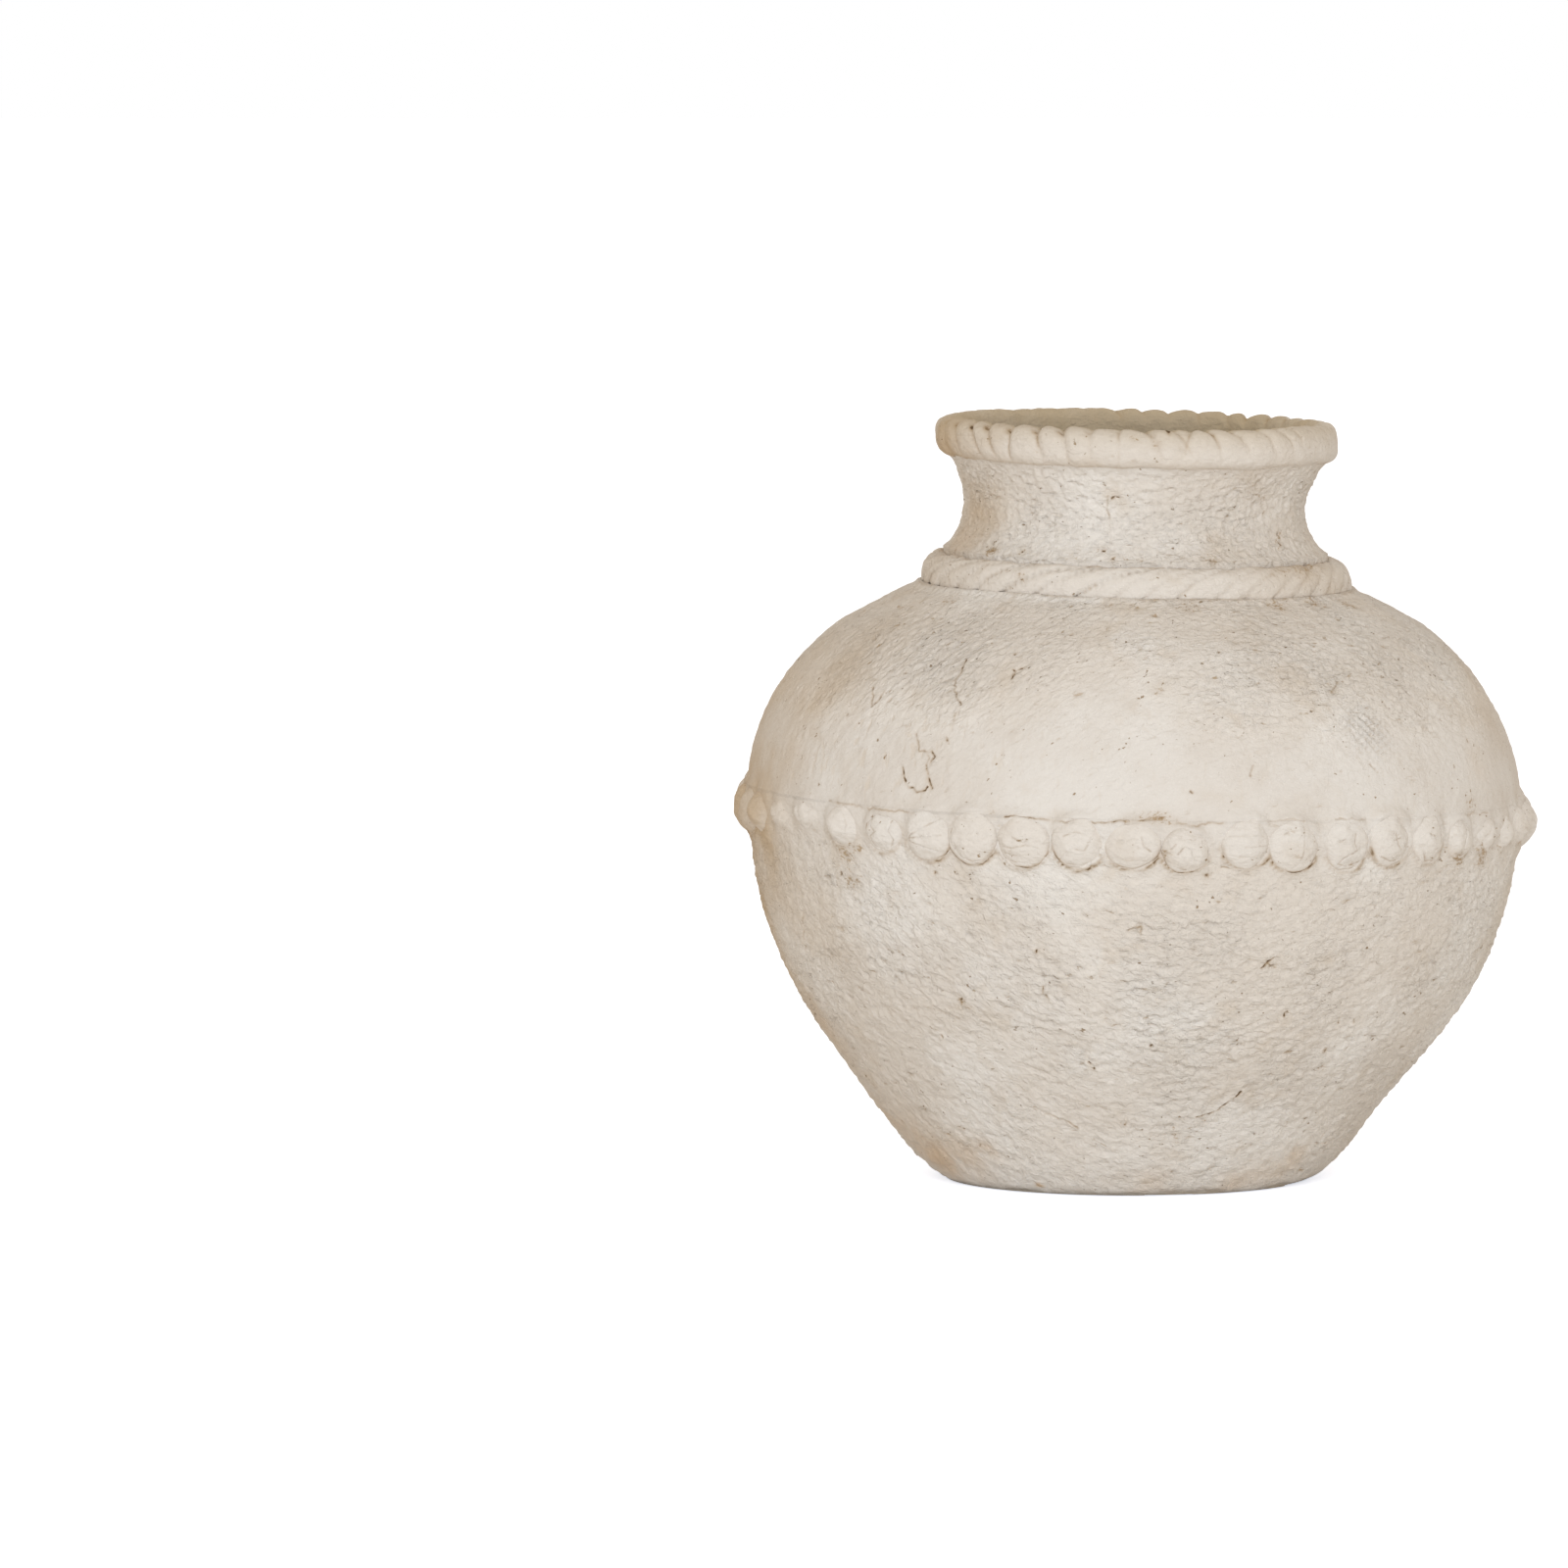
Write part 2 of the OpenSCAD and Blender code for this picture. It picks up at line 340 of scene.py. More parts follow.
# Beads: where each sits, and how the thumb left it
bead = {
    "height": (beadLow.z + beadHigh.z) / 2,
    "first": frontAngle((beadLow + beadHigh) / 2),
    "halfHeight": 11.4,
    "halfWidth": 11.8,
    "proud": -beadLow.y - bowlHigh.x,
    "fullness": 2.1,
    "buried": 3,
    # how far they stray from an even row, and from one size
    "seed": 46,
    "angles": (-0.4, 0.4),
    "heights": (-0.7, 0.7),
    "widths": (0.94, 1.04),
    "talls": (0.92, 1.04),
    "prouds": (0.8, 0.95),
    "sideLeans": (-0.08, 0.08),
    "upLeans": (-0.09, 0.05),
    "seeds": (0, 50),
    # the front ones: angle, height, half width, half height
    "front": {38: (-73.5, 165, 11.5, 10.6), 39: (-65.6, 166, 9.6, 8.6), 40: (-57.4, 168, 10.8, 7.8),
              41: (-48.7, 165, 11.0, 9.6), 42: (-40.4, 164.2, 10.6, 9.4), 43: (-32.3, 163.9, 13.0, 11.4),
              44: (-25.1, 165, 12.2, 12.2), 45: (-17.4, 163.9, 12.4, 12.2), 46: (-9.3, 164.4, 12.0, 11.9),
              1: (-1.6, 163.8, 12.4, 11.0), 2: (6.0, 162, 11.5, 9.8), 3: (15.0, 165.5, 11.7, 11.8),
              4: (22.2, 164.2, 12.6, 12.0), 5: (30.9, 163.8, 11.9, 11.9), 6: (38.8, 165.5, 12.6, 11.9),
              7: (46.5, 164.4, 11.0, 11.4), 8: (54.2, 163.6, 10.4, 9.6), 9: (62.5, 164.5, 10.2, 8.6),
              10: (70, 164, 10.4, 9)},
    # how far each is pressed and smeared into the wall
    "soft": {8: 0.35, 9: 0.9, 10: 0.9, 11: 0.65, 12: 0.4, 37: 0.5, 38: 0.85, 39: 0.95, 40: 0.8, 41: 0.5,
             42: 0.35},
    "flatter": {8: 0.9, 9: 0.7, 10: 0.8, 11: 1.15, 12: 1.15, 13: 1.1, 36: 1.1, 37: 1.1, 39: 0.75, 40: 0.8,
                41: 0.9, 42: 0.9},
}


def layBeads():
    draw = random.Random(bead["seed"])
    laid = []
    for i, node in enumerate(beadNodes):
        number = i + 1
        angle = bead["first"] + 360 * i / len(beadNodes) + draw.uniform(*bead["angles"])
        height = bead["height"] + draw.uniform(*bead["heights"])
        halfWidth = bead["halfWidth"] * draw.uniform(*bead["widths"])
        halfHeight = bead["halfHeight"] * draw.uniform(*bead["talls"])
        drawn = (angle, height, halfWidth, halfHeight)
        angle, height, halfWidth, halfHeight = bead["front"].get(number, drawn)
        laid.append({
            "node": node,
            "angle": angle,
            "height": height,
            "halfWidth": halfWidth,
            "halfHeight": halfHeight,
            "soft": bead["soft"].get(number, 0),
            "proud": bead["proud"] * draw.uniform(*bead["prouds"]) * bead["flatter"].get(number, 1),
            "lean": (draw.uniform(*bead["sideLeans"]), draw.uniform(*bead["upLeans"])),
            "seed": draw.uniform(*bead["seeds"]),
        })
    return laid


beads = layBeads()


def nearestBead(angle, height):  # the closest bead, and how far from its middle the place is: 1 at its edge
    first = round((angle - bead["first"]) % 360 / 360 * len(beads))
    best = None
    for step in (-1, 0, 1):
        one = beads[(first + step) % len(beads)]
        across = math.radians(halfTurn(angle - one["angle"])) * wall["girdleRadius"]
        away = math.hypot(across / one["halfWidth"], (height - one["height"]) / one["halfHeight"])
        if best is None or away < best[1]:
            best = (one, away)
    return best


# Hair cracks and ticks in the wash, each a line of (angle, height)
cracks = {
    "leftLoop": [(-37.7, 192), (-36.9, 187), (-36.1, 184.2), (-34.6, 182.2), (-33.3, 183.5), (-33, 185)],
    "leftStemTop": [(-36.5, 207.5), (-35.8, 202.5), (-35.2, 199.8), (-33.9, 199.6)],
    "leftStem": [(-33.9, 199.6), (-33.1, 197.4), (-33.5, 193.4), (-33, 189), (-32.2, 184.5)],
    "leftStemArm": [(-33.9, 199.6), (-33, 200.4), (-32.4, 197.6), (-32.9, 194.5)],
    "leftHook": [(-33.1, 240), (-32.9, 234.2), (-32.6, 228.8), (-31.4, 224), (-30, 220.5)],
    "leftHookFoot": [(-30.6, 217), (-30.4, 213)],
    "leftTick": [(-31, 206.5), (-30.4, 203.8)],
    "upperFork": [(-23.2, 236.4), (-22.6, 235.6), (-21.8, 237)],
    "upperForkFoot": [(-22.6, 235.6), (-22.6, 233)],
    "farLeft": [(-49.2, 224.5), (-47.1, 217), (-46.2, 220), (-46.1, 223.5)],
    "rightTickHigh": [(35.6, 233), (33.2, 228.5)],
    "rightTickLow": [(16.7, 198.2), (15.9, 194.5)],
    "rightTickSide": [(36.6, 197.8), (37.6, 194)],
    "bellyArc": [(-2, 125.8), (-1.3, 127.5), (-0.2, 126.8), (0, 124.2)],
    "bellyTick": [(-15.6, 99), (-15.6, 95.8), (-14.9, 93.5)],
    "bellyFork": [(19.1, 109.5), (19.8, 111.5), (20.5, 114)],
    "bellyForkArm": [(19.8, 111.5), (21.6, 109)],
    "bellyPit": [(25.1, 88), (25, 85.8)],
    "lowCrease": [(-19.4, 39.5), (-15.2, 36.8), (-12.4, 33.8)],
    "lowCrack": [(16.1, 39.8), (18, 41.5), (19.1, 43.8), (20.7, 47.5), (21.5, 50.8)],
    "lowCrackFoot": [(13.6, 38.2), (15.2, 38.6)],
    "lowRight": [(53.1, 21.2), (56.6, 20), (59.8, 22.2)],
    "lowRightArm": [(53.3, 22.8), (54.2, 25.5)],
    "leftBelly": [(-62.5, 122.8), (-63.9, 114.5), (-65.6, 105.5)],
    "rightPair": [(36.4, 83), (36.6, 80.8)],
    "rightPairOther": [(39.6, 83), (40.2, 81.4)],
    "neckCrack": [(-10.2, 310.8), (-10.4, 304.2), (-9.8, 302)],
    "neckLine": [(-9.8, 302), (-9.2, 294), (-8, 282)],
    "seamLeft": [(-52, 174.8), (-46.5, 174.4), (-43, 173.6), (-39, 173.8), (-34.7, 173.2)],
    "seamMiddle": [(-20, 174.6), (-14.9, 174.2), (-11, 173.4), (-6.5, 173.4), (-2.5, 174.2), (0.5, 175.4),
                   (2.6, 176.2)],
    "seamRight": [(3, 173.5), (7, 173), (11.4, 174.2)],
    "beadTopFour": [(18.2, 174.4), (20.5, 175.4), (23.8, 175.2)],
    "beadTopFive": [(28.8, 175), (31.5, 175.4), (34.4, 174.2)],
    "beadTopRight": [(56, 173.4), (59, 174), (63, 173.2)],
    "backStem": [(163, 222), (165, 214), (164, 205), (167, 196)],
    "backFork": [(-152, 118), (-150, 111), (-151, 104)],
    "backLow": [(128, 52), (131, 47), (135, 45)],
    "sideHook": [(104, 236), (106, 229), (105, 224), (108, 221)],
    "sideTick": [(-101, 128), (-103, 121)],
    "backSeam": [(118, 174.4), (126, 173.6), (133, 174.6)],
    "backSeamLeft": [(-160, 173.6), (-151, 174.4), (-143, 173.4)],
}
faintCracks = {
    "rightTickHigh": 0.5, "rightTickLow": 0.6, "bellyTick": 0.8, "neckLine": 0.22, "neckCrack": 0.4,
    "seamLeft": 0.45, "seamMiddle": 0.65, "seamRight": 0.45, "beadTopFour": 0.3, "beadTopFive": 0.35,
    "beadTopRight": 0.35, "farLeft": 0.6, "leftHook": 0.8, "leftStemTop": 0.55, "rightTickSide": 0.6,
    "lowCrease": 0.55, "lowRight": 0.7, "lowRightArm": 0.6, "leftBelly": 0.6, "backSeam": 0.5,
    "backSeamLeft": 0.5, "bellyArc": 0.6, "leftHookFoot": 0.5,
}
# Pin holes in the wash, each at (angle, height)
specks = [
    (-8.8, 310.2), (-8.5, 309.8), (69.7, 251.5), (61.8, 205), (75.8, 196.5), (-16, 115.8),
    (-7.7, 104.8), (-9.6, 79.5), (2.1, 72.8), (-8.7, 64.5), (-8.1, 62), (-36.4, 73.5), (-1.9, 34.5),
    (41.2, 68.2), (72.3, 57.5), (-54.6, 181.5), (-50, 143), (-31.7, 148.2), (-30.2, 91.2),
    (36.3, 68.5), (38.1, 59.5), (37.5, 59), (-43.3, 30.5), (-42.4, 29.4), (-68, 27.5), (9.4, 150.8),
    (-50.4, 283.8), (-49.2, 282.6), (-37.9, 284.5), (21.7, 283), (-11.3, 286.5), (-8.1, 283),
    (53.4, 293.5), (52.6, 289), (47, 303), (-24, 243), (-52, 212), (-44, 232), (14, 246), (28, 221),
    (44, 240), (7, 187),
]
crackCut = {
    "weight": 1.3,
    "width": 0.42,
    "depth": 0.75,
    "halo": 0.1,
    "haloWidth": 1.2,
    "wander": 0.8,
    "wanderLength": 5,
    "jag": 0.5,
    "jagLength": 1.6,
    "breaksFrom": 7,  # a crack longer than this has gaps
    "gaps": (-0.9, -0.1),
    "tick": 0.75,  # a shorter one is thick and thin
    "tickChange": 0.6,
    "tickLength": 1.4,
    "sampleStep": 0.3,
    "reach": 1.25,
    "cuts": 3,
    "speckWeight": 1.2,
    "speckWidth": 0.48,
    "speckDrop": 0.7,
    "speckTurn": 3,
    "scatter": 46,
    "scatterSeed": 5,
    "scatterAngles": (80, 280),
    "scatterHeights": (12, 255),
}

# Speckled brown smudges on the wall: angle, height, radius, strength
smudges = [
    (-50.4, 283.8, 4.5, 0.9), (-37.9, 284.5, 3, 0.8), (21.7, 283, 5, 0.7), (-11.3, 286.5, 3, 0.6),
    (-8.1, 283, 3, 0.7), (53.4, 293.5, 4, 0.6), (51, 288, 3, 0.6), (40.3, 314, 6, 0.5),
    (46, 309, 5, 0.35), (2.2, 229.2, 3, 0.5), (3.3, 232.5, 3, 0.5), (2.6, 176.4, 3, 0.9),
    (1, 175.6, 3, 0.8), (-1, 175, 3, 0.6), (-2.6, 174.4, 2.6, 0.5), (4.4, 174.6, 2.6, 0.6),
    (6, 173.6, 2.4, 0.4), (8, 173.4, 2.4, 0.35), (34, 229, 4, 0.4), (-30.2, 91.2, 2.5, 0.7),
    (-29.4, 87.5, 3, 0.5), (-32, 82, 3, 0.4), (15.4, 36.5, 3, 0.6), (9.5, 32, 4, 0.5),
    (10.5, 27, 3, 0.5), (-43.3, 30.5, 2.5, 0.5), (-39.9, 22.5, 4, 0.5), (-68, 27.5, 3, 0.5),
    (19.8, 111.5, 2.5, 0.5), (-48.6, 152.5, 5, 1.0), (-47.5, 141, 6, 0.85), (-45.6, 156, 3, 0.9),
    (9.4, 150.8, 2, 0.6), (36.3, 68.5, 3, 0.5), (38.1, 59.5, 3, 0.5), (5, 30, 5, 0.35),
    (-8.8, 264, 4, 0.6), (11, 264, 7, 0.6), (36, 264, 6, 0.8), (50, 264, 7, 0.8), (62, 263, 6, 0.8),
    (-52, 262, 7, 0.6), (-84, 152, 9, 0.5), (-80, 138, 10, 0.4), (62, 156, 8, 0.85),
    (69, 160, 7, 0.75), (55, 154, 4, 0.8), (58, 178, 6, 0.6), (50, 177, 5, 0.4), (-27, 146, 6, 0.35),
    (-22, 175, 4, 0.4), (-20, 283, 6, 0.4), (-58, 303, 14, 0.25), (-62, 288, 10, 0.35),
    (-55, 315, 8, 0.25), (2.5, 92, 8, 0.3), (-5, 84, 9, 0.3), (150, 176, 5, 0.7), (-120, 266, 7, 0.7),
    (170, 284, 5, 0.6), (105, 150, 6, 0.5), (-135, 92, 7, 0.4), (160, 40, 6, 0.5),
]
# Bare, warm clay showing through, mostly near the foot: angle, height, radius, strength
bareClay = [
    (-66, 16, 17, 0.5), (-56, 12, 13, 0.35), (-46, 18, 12, 0.3), (-38, 20, 5, 0.4),
    (41.6, 10.5, 11, 0.3), (47, 16, 8, 0.25), (-27.8, 3.2, 1.8, 1.4), (4, 3, 12, 0.3),
    (30, 4, 8, 0.35), (-80, 30, 10, 0.35), (118, 12, 13, 0.6), (-150, 10, 12, 0.6), (165, 20, 9, 0.4),
    (62.5, 196, 9, 0.3), (-72, 285, 12, 0.25), (-76, 72, 16, 0.3), (-62, 190, 10, 0.2),
    (95, 140, 14, 0.4), (-105, 90, 16, 0.35),
]
# The wash is darker and tanned, mostly on the left side: angle, height, radius, strength
tanned = [
    (-88, 152, 32, 0.5), (-86, 120, 34, 0.4), (-84, 92, 34, 0.3), (-82, 60, 30, 0.3),
    (-86, 190, 30, 0.6), (-80, 225, 34, 0.35), (-76, 294, 22, 0.5), (-58, 302, 18, 0.3),
    (70, 262, 18, 0.25), (-66, 24, 28, 0.15), (62, 300, 14, 0.1), (-72, 168, 20, 0.55),
    (-70, 188, 22, 0.35), (-72, 146, 20, 0.2), (-66, 128, 20, 0.3), (-64, 205, 22, 0.3),
    (-60, 225, 24, 0.25), (-56, 112, 22, 0.2), (78, 120, 24, 0.2), (76, 215, 24, 0.25),
    (-60, 248, 20, 0.2),
]


def tanAt(place):
    return sum(strength * bump((place - onWall(angle, height)).length, radius)
               for angle, height, radius, strength in tanned)


# Round pieces are spun in slices, with finer steps at the front than at the back
spinSlice = 20  # degrees
frontSlices = 10
backSlices = 8
weldReach = 0.01
sharpTurn = math.radians(50)


def spinPart(bm, line, closed, start, slices, cuts):  # one slice is spun, then copies of it round the axis
    groups = (bm.verts, bm.edges, bm.faces)
    counts = [len(group) for group in groups]
    turn = math.radians(spinSlice)
    side = Vector((math.sin(math.radians(start)), -math.cos(math.radians(start)), 0))
    dots = [bm.verts.new(side * radius + up * height) for radius, height in line]
    pairs = list(zip(dots, dots[1:])) + ([(dots[-1], dots[0])] if closed else [])
    edges = [bm.edges.new(pair) for pair in pairs]
    bmesh.ops.spin(bm, geom=dots + edges, cent=(0, 0, 0), axis=up, angle=turn, steps=cuts)
    made = [item for group, count in zip(groups, counts) for item in list(group)[count:]]
    bmesh.ops.spin(bm, geom=made, cent=(0, 0, 0), axis=up, angle=turn * (slices - 1), steps=slices - 1,
                   use_duplicate=True)


def spinLine(line, frontCuts, backCuts, closed=False):
    bm = bmesh.new()
    frontEnd = spinSlice * frontSlices / 2
    spinPart(bm, line, closed, frontEnd, backSlices, backCuts)
    spinPart(bm, line, closed, -frontEnd, frontSlices, frontCuts)
    bmesh.ops.remove_doubles(bm, verts=bm.verts, dist=weldReach)
    bmesh.ops.recalc_face_normals(bm, faces=bm.faces)
    return bm


def markCorners(bm):  # the joint faces don't bend the light on the outside
    for edge in bm.edges:
        if edge.calc_face_angle(0) > sharpTurn:
            edge.smooth = False


def scatteredSpecks():  # pin holes on the sides and back
    draw = random.Random(crackCut["scatterSeed"])
    return [(draw.uniform(*crackCut["scatterAngles"]), draw.uniform(*crackCut["scatterHeights"]))
            for i in range(crackCut["scatter"])]


specks += scatteredSpecks()


def pointsAlong(places, step):
    points = []
    for start, end in zip(places, places[1:]):
        count = max(1, round((end - start).length / step))
        points += [start.lerp(end, i / count) for i in range(count + 1)]
    return points


def crackShift(place):  # cracks wander, and are jagged
    size, fine = crackCut["wanderLength"], crackCut["jagLength"]
    wander = Vector((lumps(place, size, 6), lumps(place, size, 7), lumps(place, size, 8)))
    jag = Vector((lumps(place, fine, 6), 0, lumps(place, fine, 8)))
    return wander * crackCut["wander"] + jag * crackCut["jag"]


def crackSamples(bottom, top):  # close points along the cracks between two heights, with weight and width
    samples = []
    for name, line in cracks.items():
        if not bottom < line[0][1] < top:
            continue
        weight = crackCut["weight"] * faintCracks.get(name, 1)
        places = [onWall(angle, height) for angle, height in line]
        long = sum((b - a).length for a, b in zip(places, places[1:])) > crackCut["breaksFrom"]
        for place in pointsAlong(places, crackCut["sampleStep"]):
            if long:
                whole = patchy(place, crackCut["wanderLength"], 12, *crackCut["gaps"])
            else:
                whole = crackCut["tick"] + crackCut["tickChange"] * lumps(place, crackCut["tickLength"], 12)
            samples.append((place + crackShift(place), weight * whole, crackCut["width"]))
    for angle, height in specks:
        if bottom < height < top:
            place = onWall(angle, height)
            slope = angle + crackCut["speckTurn"] * height  # each hole is drawn out its own way
            drop = crackCut["speckDrop"] * Vector((math.cos(slope), 0, math.sin(slope)))
            for spot in (place, place + drop):
                samples.append((spot, crackCut["speckWeight"], crackCut["speckWidth"]))
    return samples


def finePlaces(low, high):  # places where close ripples need finer faces
    places = []
    count = ripple["fineSteps"]
    steps = [i / count for i in range(-count, count + 1)]
    for angle, height, halfWidth, halfHeight, rise, spacing, depth in swipes:
        if low < height < high and spacing < ripple["close"]:
            turn = math.degrees(halfWidth / wallAt(height)[0])
            places += [onWall(angle + turn * across, height + halfHeight * above)
                       for across in steps for above in steps]
    return places


def treeOf(places):
    tree = kdtree.KDTree(len(places))
    for i, place in enumerate(places):
        tree.insert(place, i)
    tree.balance()
    return tree


def refineAlong(bm, places, reach, cuts):  # finer faces where a crack or a ripple will run
    bm.faces.ensure_lookup_table()
    tree = treeOf([face.calc_center_median() for face in bm.faces])
    near = sorted({hit[1] for place in places for hit in tree.find_range(place, reach)})
    edges = list(dict.fromkeys(edge for i in near for edge in bm.faces[i].edges))  # each once, in order
    bmesh.ops.subdivide_edges(bm, edges=edges, cuts=cuts, use_grid_fill=True)
    bmesh.ops.triangulate(bm, faces=[face for face in bm.faces if len(face.verts) > 4])


# What the relief leaves on each point for the finish to read
paintNames = ("hollow", "stain", "smudge", "clay", "tanned", "rough", "inside", "fall", "brushed")


def paintLayers(bm):
    return {name: bm.verts.layers.float.new(name) for name in paintNames}


def addPatches(bm, layer, patches):
    verts = list(bm.verts)
    tree = treeOf([vert.co for vert in verts])
    for angle, height, radius, strength in patches:
        for place, i, away in tree.find_range(onWall(angle, height), fadedOut * radius):
            verts[i][layer] += strength * bump(away, radius)


crackMargin = 3  # cracks may start this far past a piece's edge


def dressWall(bm, isInside, extra):  # relief and paint for a piece of the wall; extra adds what only it has
    heights = [vert.co.z for vert in bm.verts]
    low, high = min(heights) - crackMargin, max(heights) + crackMargin
    samples = crackSamples(low, high)
    crackPlaces = [sample[0] for sample in samples]
    refineAlong(bm, finePlaces(low, high), ripple["fineReach"], ripple["fineCuts"])
    refineAlong(bm, crackPlaces, crackCut["reach"], crackCut["cuts"])
    layers = paintLayers(bm)
    for name, patches in (("smudge", smudges), ("tanned", tanned), ("clay", bareClay)):
        addPatches(bm, layers[name], patches)
    crackTree = treeOf(crackPlaces)
    bm.normal_update()
    for vert in bm.verts:
        place = vert.co.copy()
        if isInside(place):
            vert[layers["inside"]] = 1
            vert[layers["rough"]] = wash["insideRough"]
            vert.co += vert.normal * wash["insideSwell"] * swells(place)
            continue
        tilt = wallAt(place.z)[1]
        lift, crease, depth = dabs(place, roughness(place))
        sag = wash["sag"] * lift * ease(0, wash["sagFull"], place.z)
        rippled, stain = swiped(place)
        more, dirt = extra(place)
        stain += dirt
        lift += swells(place) + brushing(place) + rippled + more + follow(wall["fuller"], place.z)
        nearest, away = crackTree.find(place)[1:]
        if away < crackCut["reach"]:
            weight, width = samples[nearest][1:]
            cut = weight * bump(away, width)
            lift -= crackCut["depth"] * min(1, cut)
            stain += cut + crackCut["halo"] * weight * bump(away, crackCut["haloWidth"])
        warm = wash["footWarmth"] * (1 - ease(0, wash["footWarmTo"], place.z))
        change = 1 + wash["footWarmChange"] * lumps(place, wash["footWarmLength"], 15)
        vert[layers["clay"]] += warm * change
        # the creases under overhanging dabs are painted with shade in the finish
        vert[layers["hollow"]] = crease
        vert[layers["rough"]] = depth
        vert[layers["fall"]] = fallOf(place) * metresPerMm
        vert[layers["brushed"]] = brushed(place)
        vert[layers["stain"]] += stain
        vert.co = place + outward(place, tilt) * lift - up * sag


def finishPiece(bm, name, material, nodes):
    for vert in bm.verts:
        vert.co = settled(vert.co) * metresPerMm
    bmesh.ops.recalc_face_normals(bm, faces=bm.faces)
    mesh = bpy.data.meshes.new(name)
    bm.to_mesh(mesh)
    bm.free()
    mesh.shade_smooth()
    mesh.materials.append(material)
    piece = bpy.data.objects.new(name, mesh)
    bpy.context.scene.collection.objects.link(piece)
    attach(piece, "root")
    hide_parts(*nodes)
    return piece


def triangles(piece):
    return sum(len(face.vertices) - 2 for face in piece.data.polygons)


def plug(tree, socket, value):  # another node's output, or a plain value
    if isinstance(value, bpy.types.NodeSocket):
        tree.links.new(value, socket)
    else:
        socket.default_value = value


def addNode(tree, kind, inputs=None, **settings):
    node = tree.nodes.new(kind)
    for name, value in settings.items():
        setattr(node, name, value)
    for name, value in (inputs or {}).items():
        plug(tree, node.inputs[name], value)
    return node


def noiseOf(tree, where, scale, detail, distortion=0, roughness=0.5):
    inputs = {"Vector": where, "Scale": scale, "Detail": detail, "Distortion": distortion,
              "Roughness": roughness}
    return addNode(tree, "ShaderNodeTexNoise", inputs).outputs["Fac"]


def rangeOf(tree, value, low, high, outLow=0, outHigh=1):
    inputs = {"Value": value, "From Min": low, "From Max": high, "To Min": outLow, "To Max": outHigh}
    return addNode(tree, "ShaderNodeMapRange", inputs, interpolation_type="SMOOTHSTEP").outputs["Result"]


def mathOf(tree, operation, first, second):
    made = addNode(tree, "ShaderNodeMath", operation=operation)
    plug(tree, made.inputs[0], first)
    plug(tree, made.inputs[1], second)
    return made.outputs[0]


def mixColour(tree, factor, first, second):
    made = addNode(tree, "ShaderNodeMix", data_type="RGBA")
    sockets = [made.inputs["Factor"]] + [socket for socket in made.inputs if socket.type == "RGBA"]
    for socket, value in zip(sockets, (factor, first, second)):
        plug(tree, socket, value)
    return [socket for socket in made.outputs if socket.type == "RGBA"][0]


def shade(red, green, blue):  # a colour as a paint chart gives it, 0 to 255, by the sRGB curve
    def linear(part):
        part /= 255
        return part / 12.92 if part <= 0.04045 else ((part + 0.055) / 1.055) ** 2.4
    return (linear(red), linear(green), linear(blue), 1)


# Finishes
washColours = {
    "cream": shade(225, 217, 207),
    "milk": shade(232, 225, 216),
    "chalk": shade(235, 230, 223),
    "tan": shade(213, 199, 181),
    # painted shade in the creases under the dabs, brown in part
    "crease": shade(180, 155, 122),
    # painted shade, laid on smooth wash
    "smoothShade": shade(204, 198, 191),
    "dirt": shade(166, 137, 97),
    "freckle": shade(150, 124, 90),
    "deepDirt": shade(84, 62, 36),
    "clay": shade(213, 184, 149),
    "tanned": shade(190, 161, 119),
    "inside": shade(194, 177, 148),
}
# Noise in the wash: scale, detail, distortion, roughness, the range it is read from, the range it gives
patterns = {
    "patches": (14, 4, 0, 0.5, 0.42, 0.66, 0, 1),
    "blotches": (46, 5, 0.4, 0.5, 0.52, 0.78, 0, 0.5),
    "sooty": (34, 4, 0, 0.5, 0.3, 0.7, 0.5, 1.1),
    "bare": (60, 4, 0, 0.5, 0.3, 0.6, 0.3, 1),
    "strokes": (330, 3, 0.4, 0.5, 0.56, 0.7, 0, 1),
    "streaks": (170, 4, 0.7, 0.55, 0.577, 0.68, 0, 1),
    "gathered": (38, 2, 0, 0.5, 0.4, 0.65, 0, 0.05),
    "shadowed": (30, 4, 0, 0.5, 0.2, 0.8, 0.7, 1.0),
    "broken": (300, 4, 0.6, 0.5, 0.3, 0.66, 0.55, 1.0),
    "dull": (60, 3, 0, 0.5, 0.3, 0.7, 0.82, 0.96),
}
finish = {
    "shine": 0.22,
    "levelSquash": 1.4,  # patterns that lie level
    "flatSquash": 2.5,
    "uprightSquash": 0.22,
    "mostCover": 0.9,  # tan and bare clay don't hide the wash fully
    "smoothShade": (0.3, 0.8, 0.3, 0),  # painted shade where the wash is smooth, by roughness
    "brushLines": 0.3,
    "hollowLines": 0.9,
    "roughLines": 0.12,
    "mostLines": 0.85,
    "freckleGrain": (330, 2, 0.3),
    "freckles": (0.737, 0.785, 0, 0.85),
    "smudgeGrain": (430, 4, 0.6, 0.6),
    "smudgeGrowth": 0.26,
    "speckles": (0.64, 0.8, 0, 0.75),
    "dust": 2,
    "veil": 0.22,
    "mostVeil": 0.25,
    "mostStain": 0.85,
    "deepStain": (0.5, 1.0, 0, 0.9),
    "sand": (300, 5, 0.5, 0.56),
    "streakCut": 0.12,  # depth of the marks in the bump
    "scratchCut": 0.12,
    "freckleCut": 0.3,
    "bumpByRough": 0.6,
    "leastBump": 0.18,
    "bumpDistance": 0.003,
}


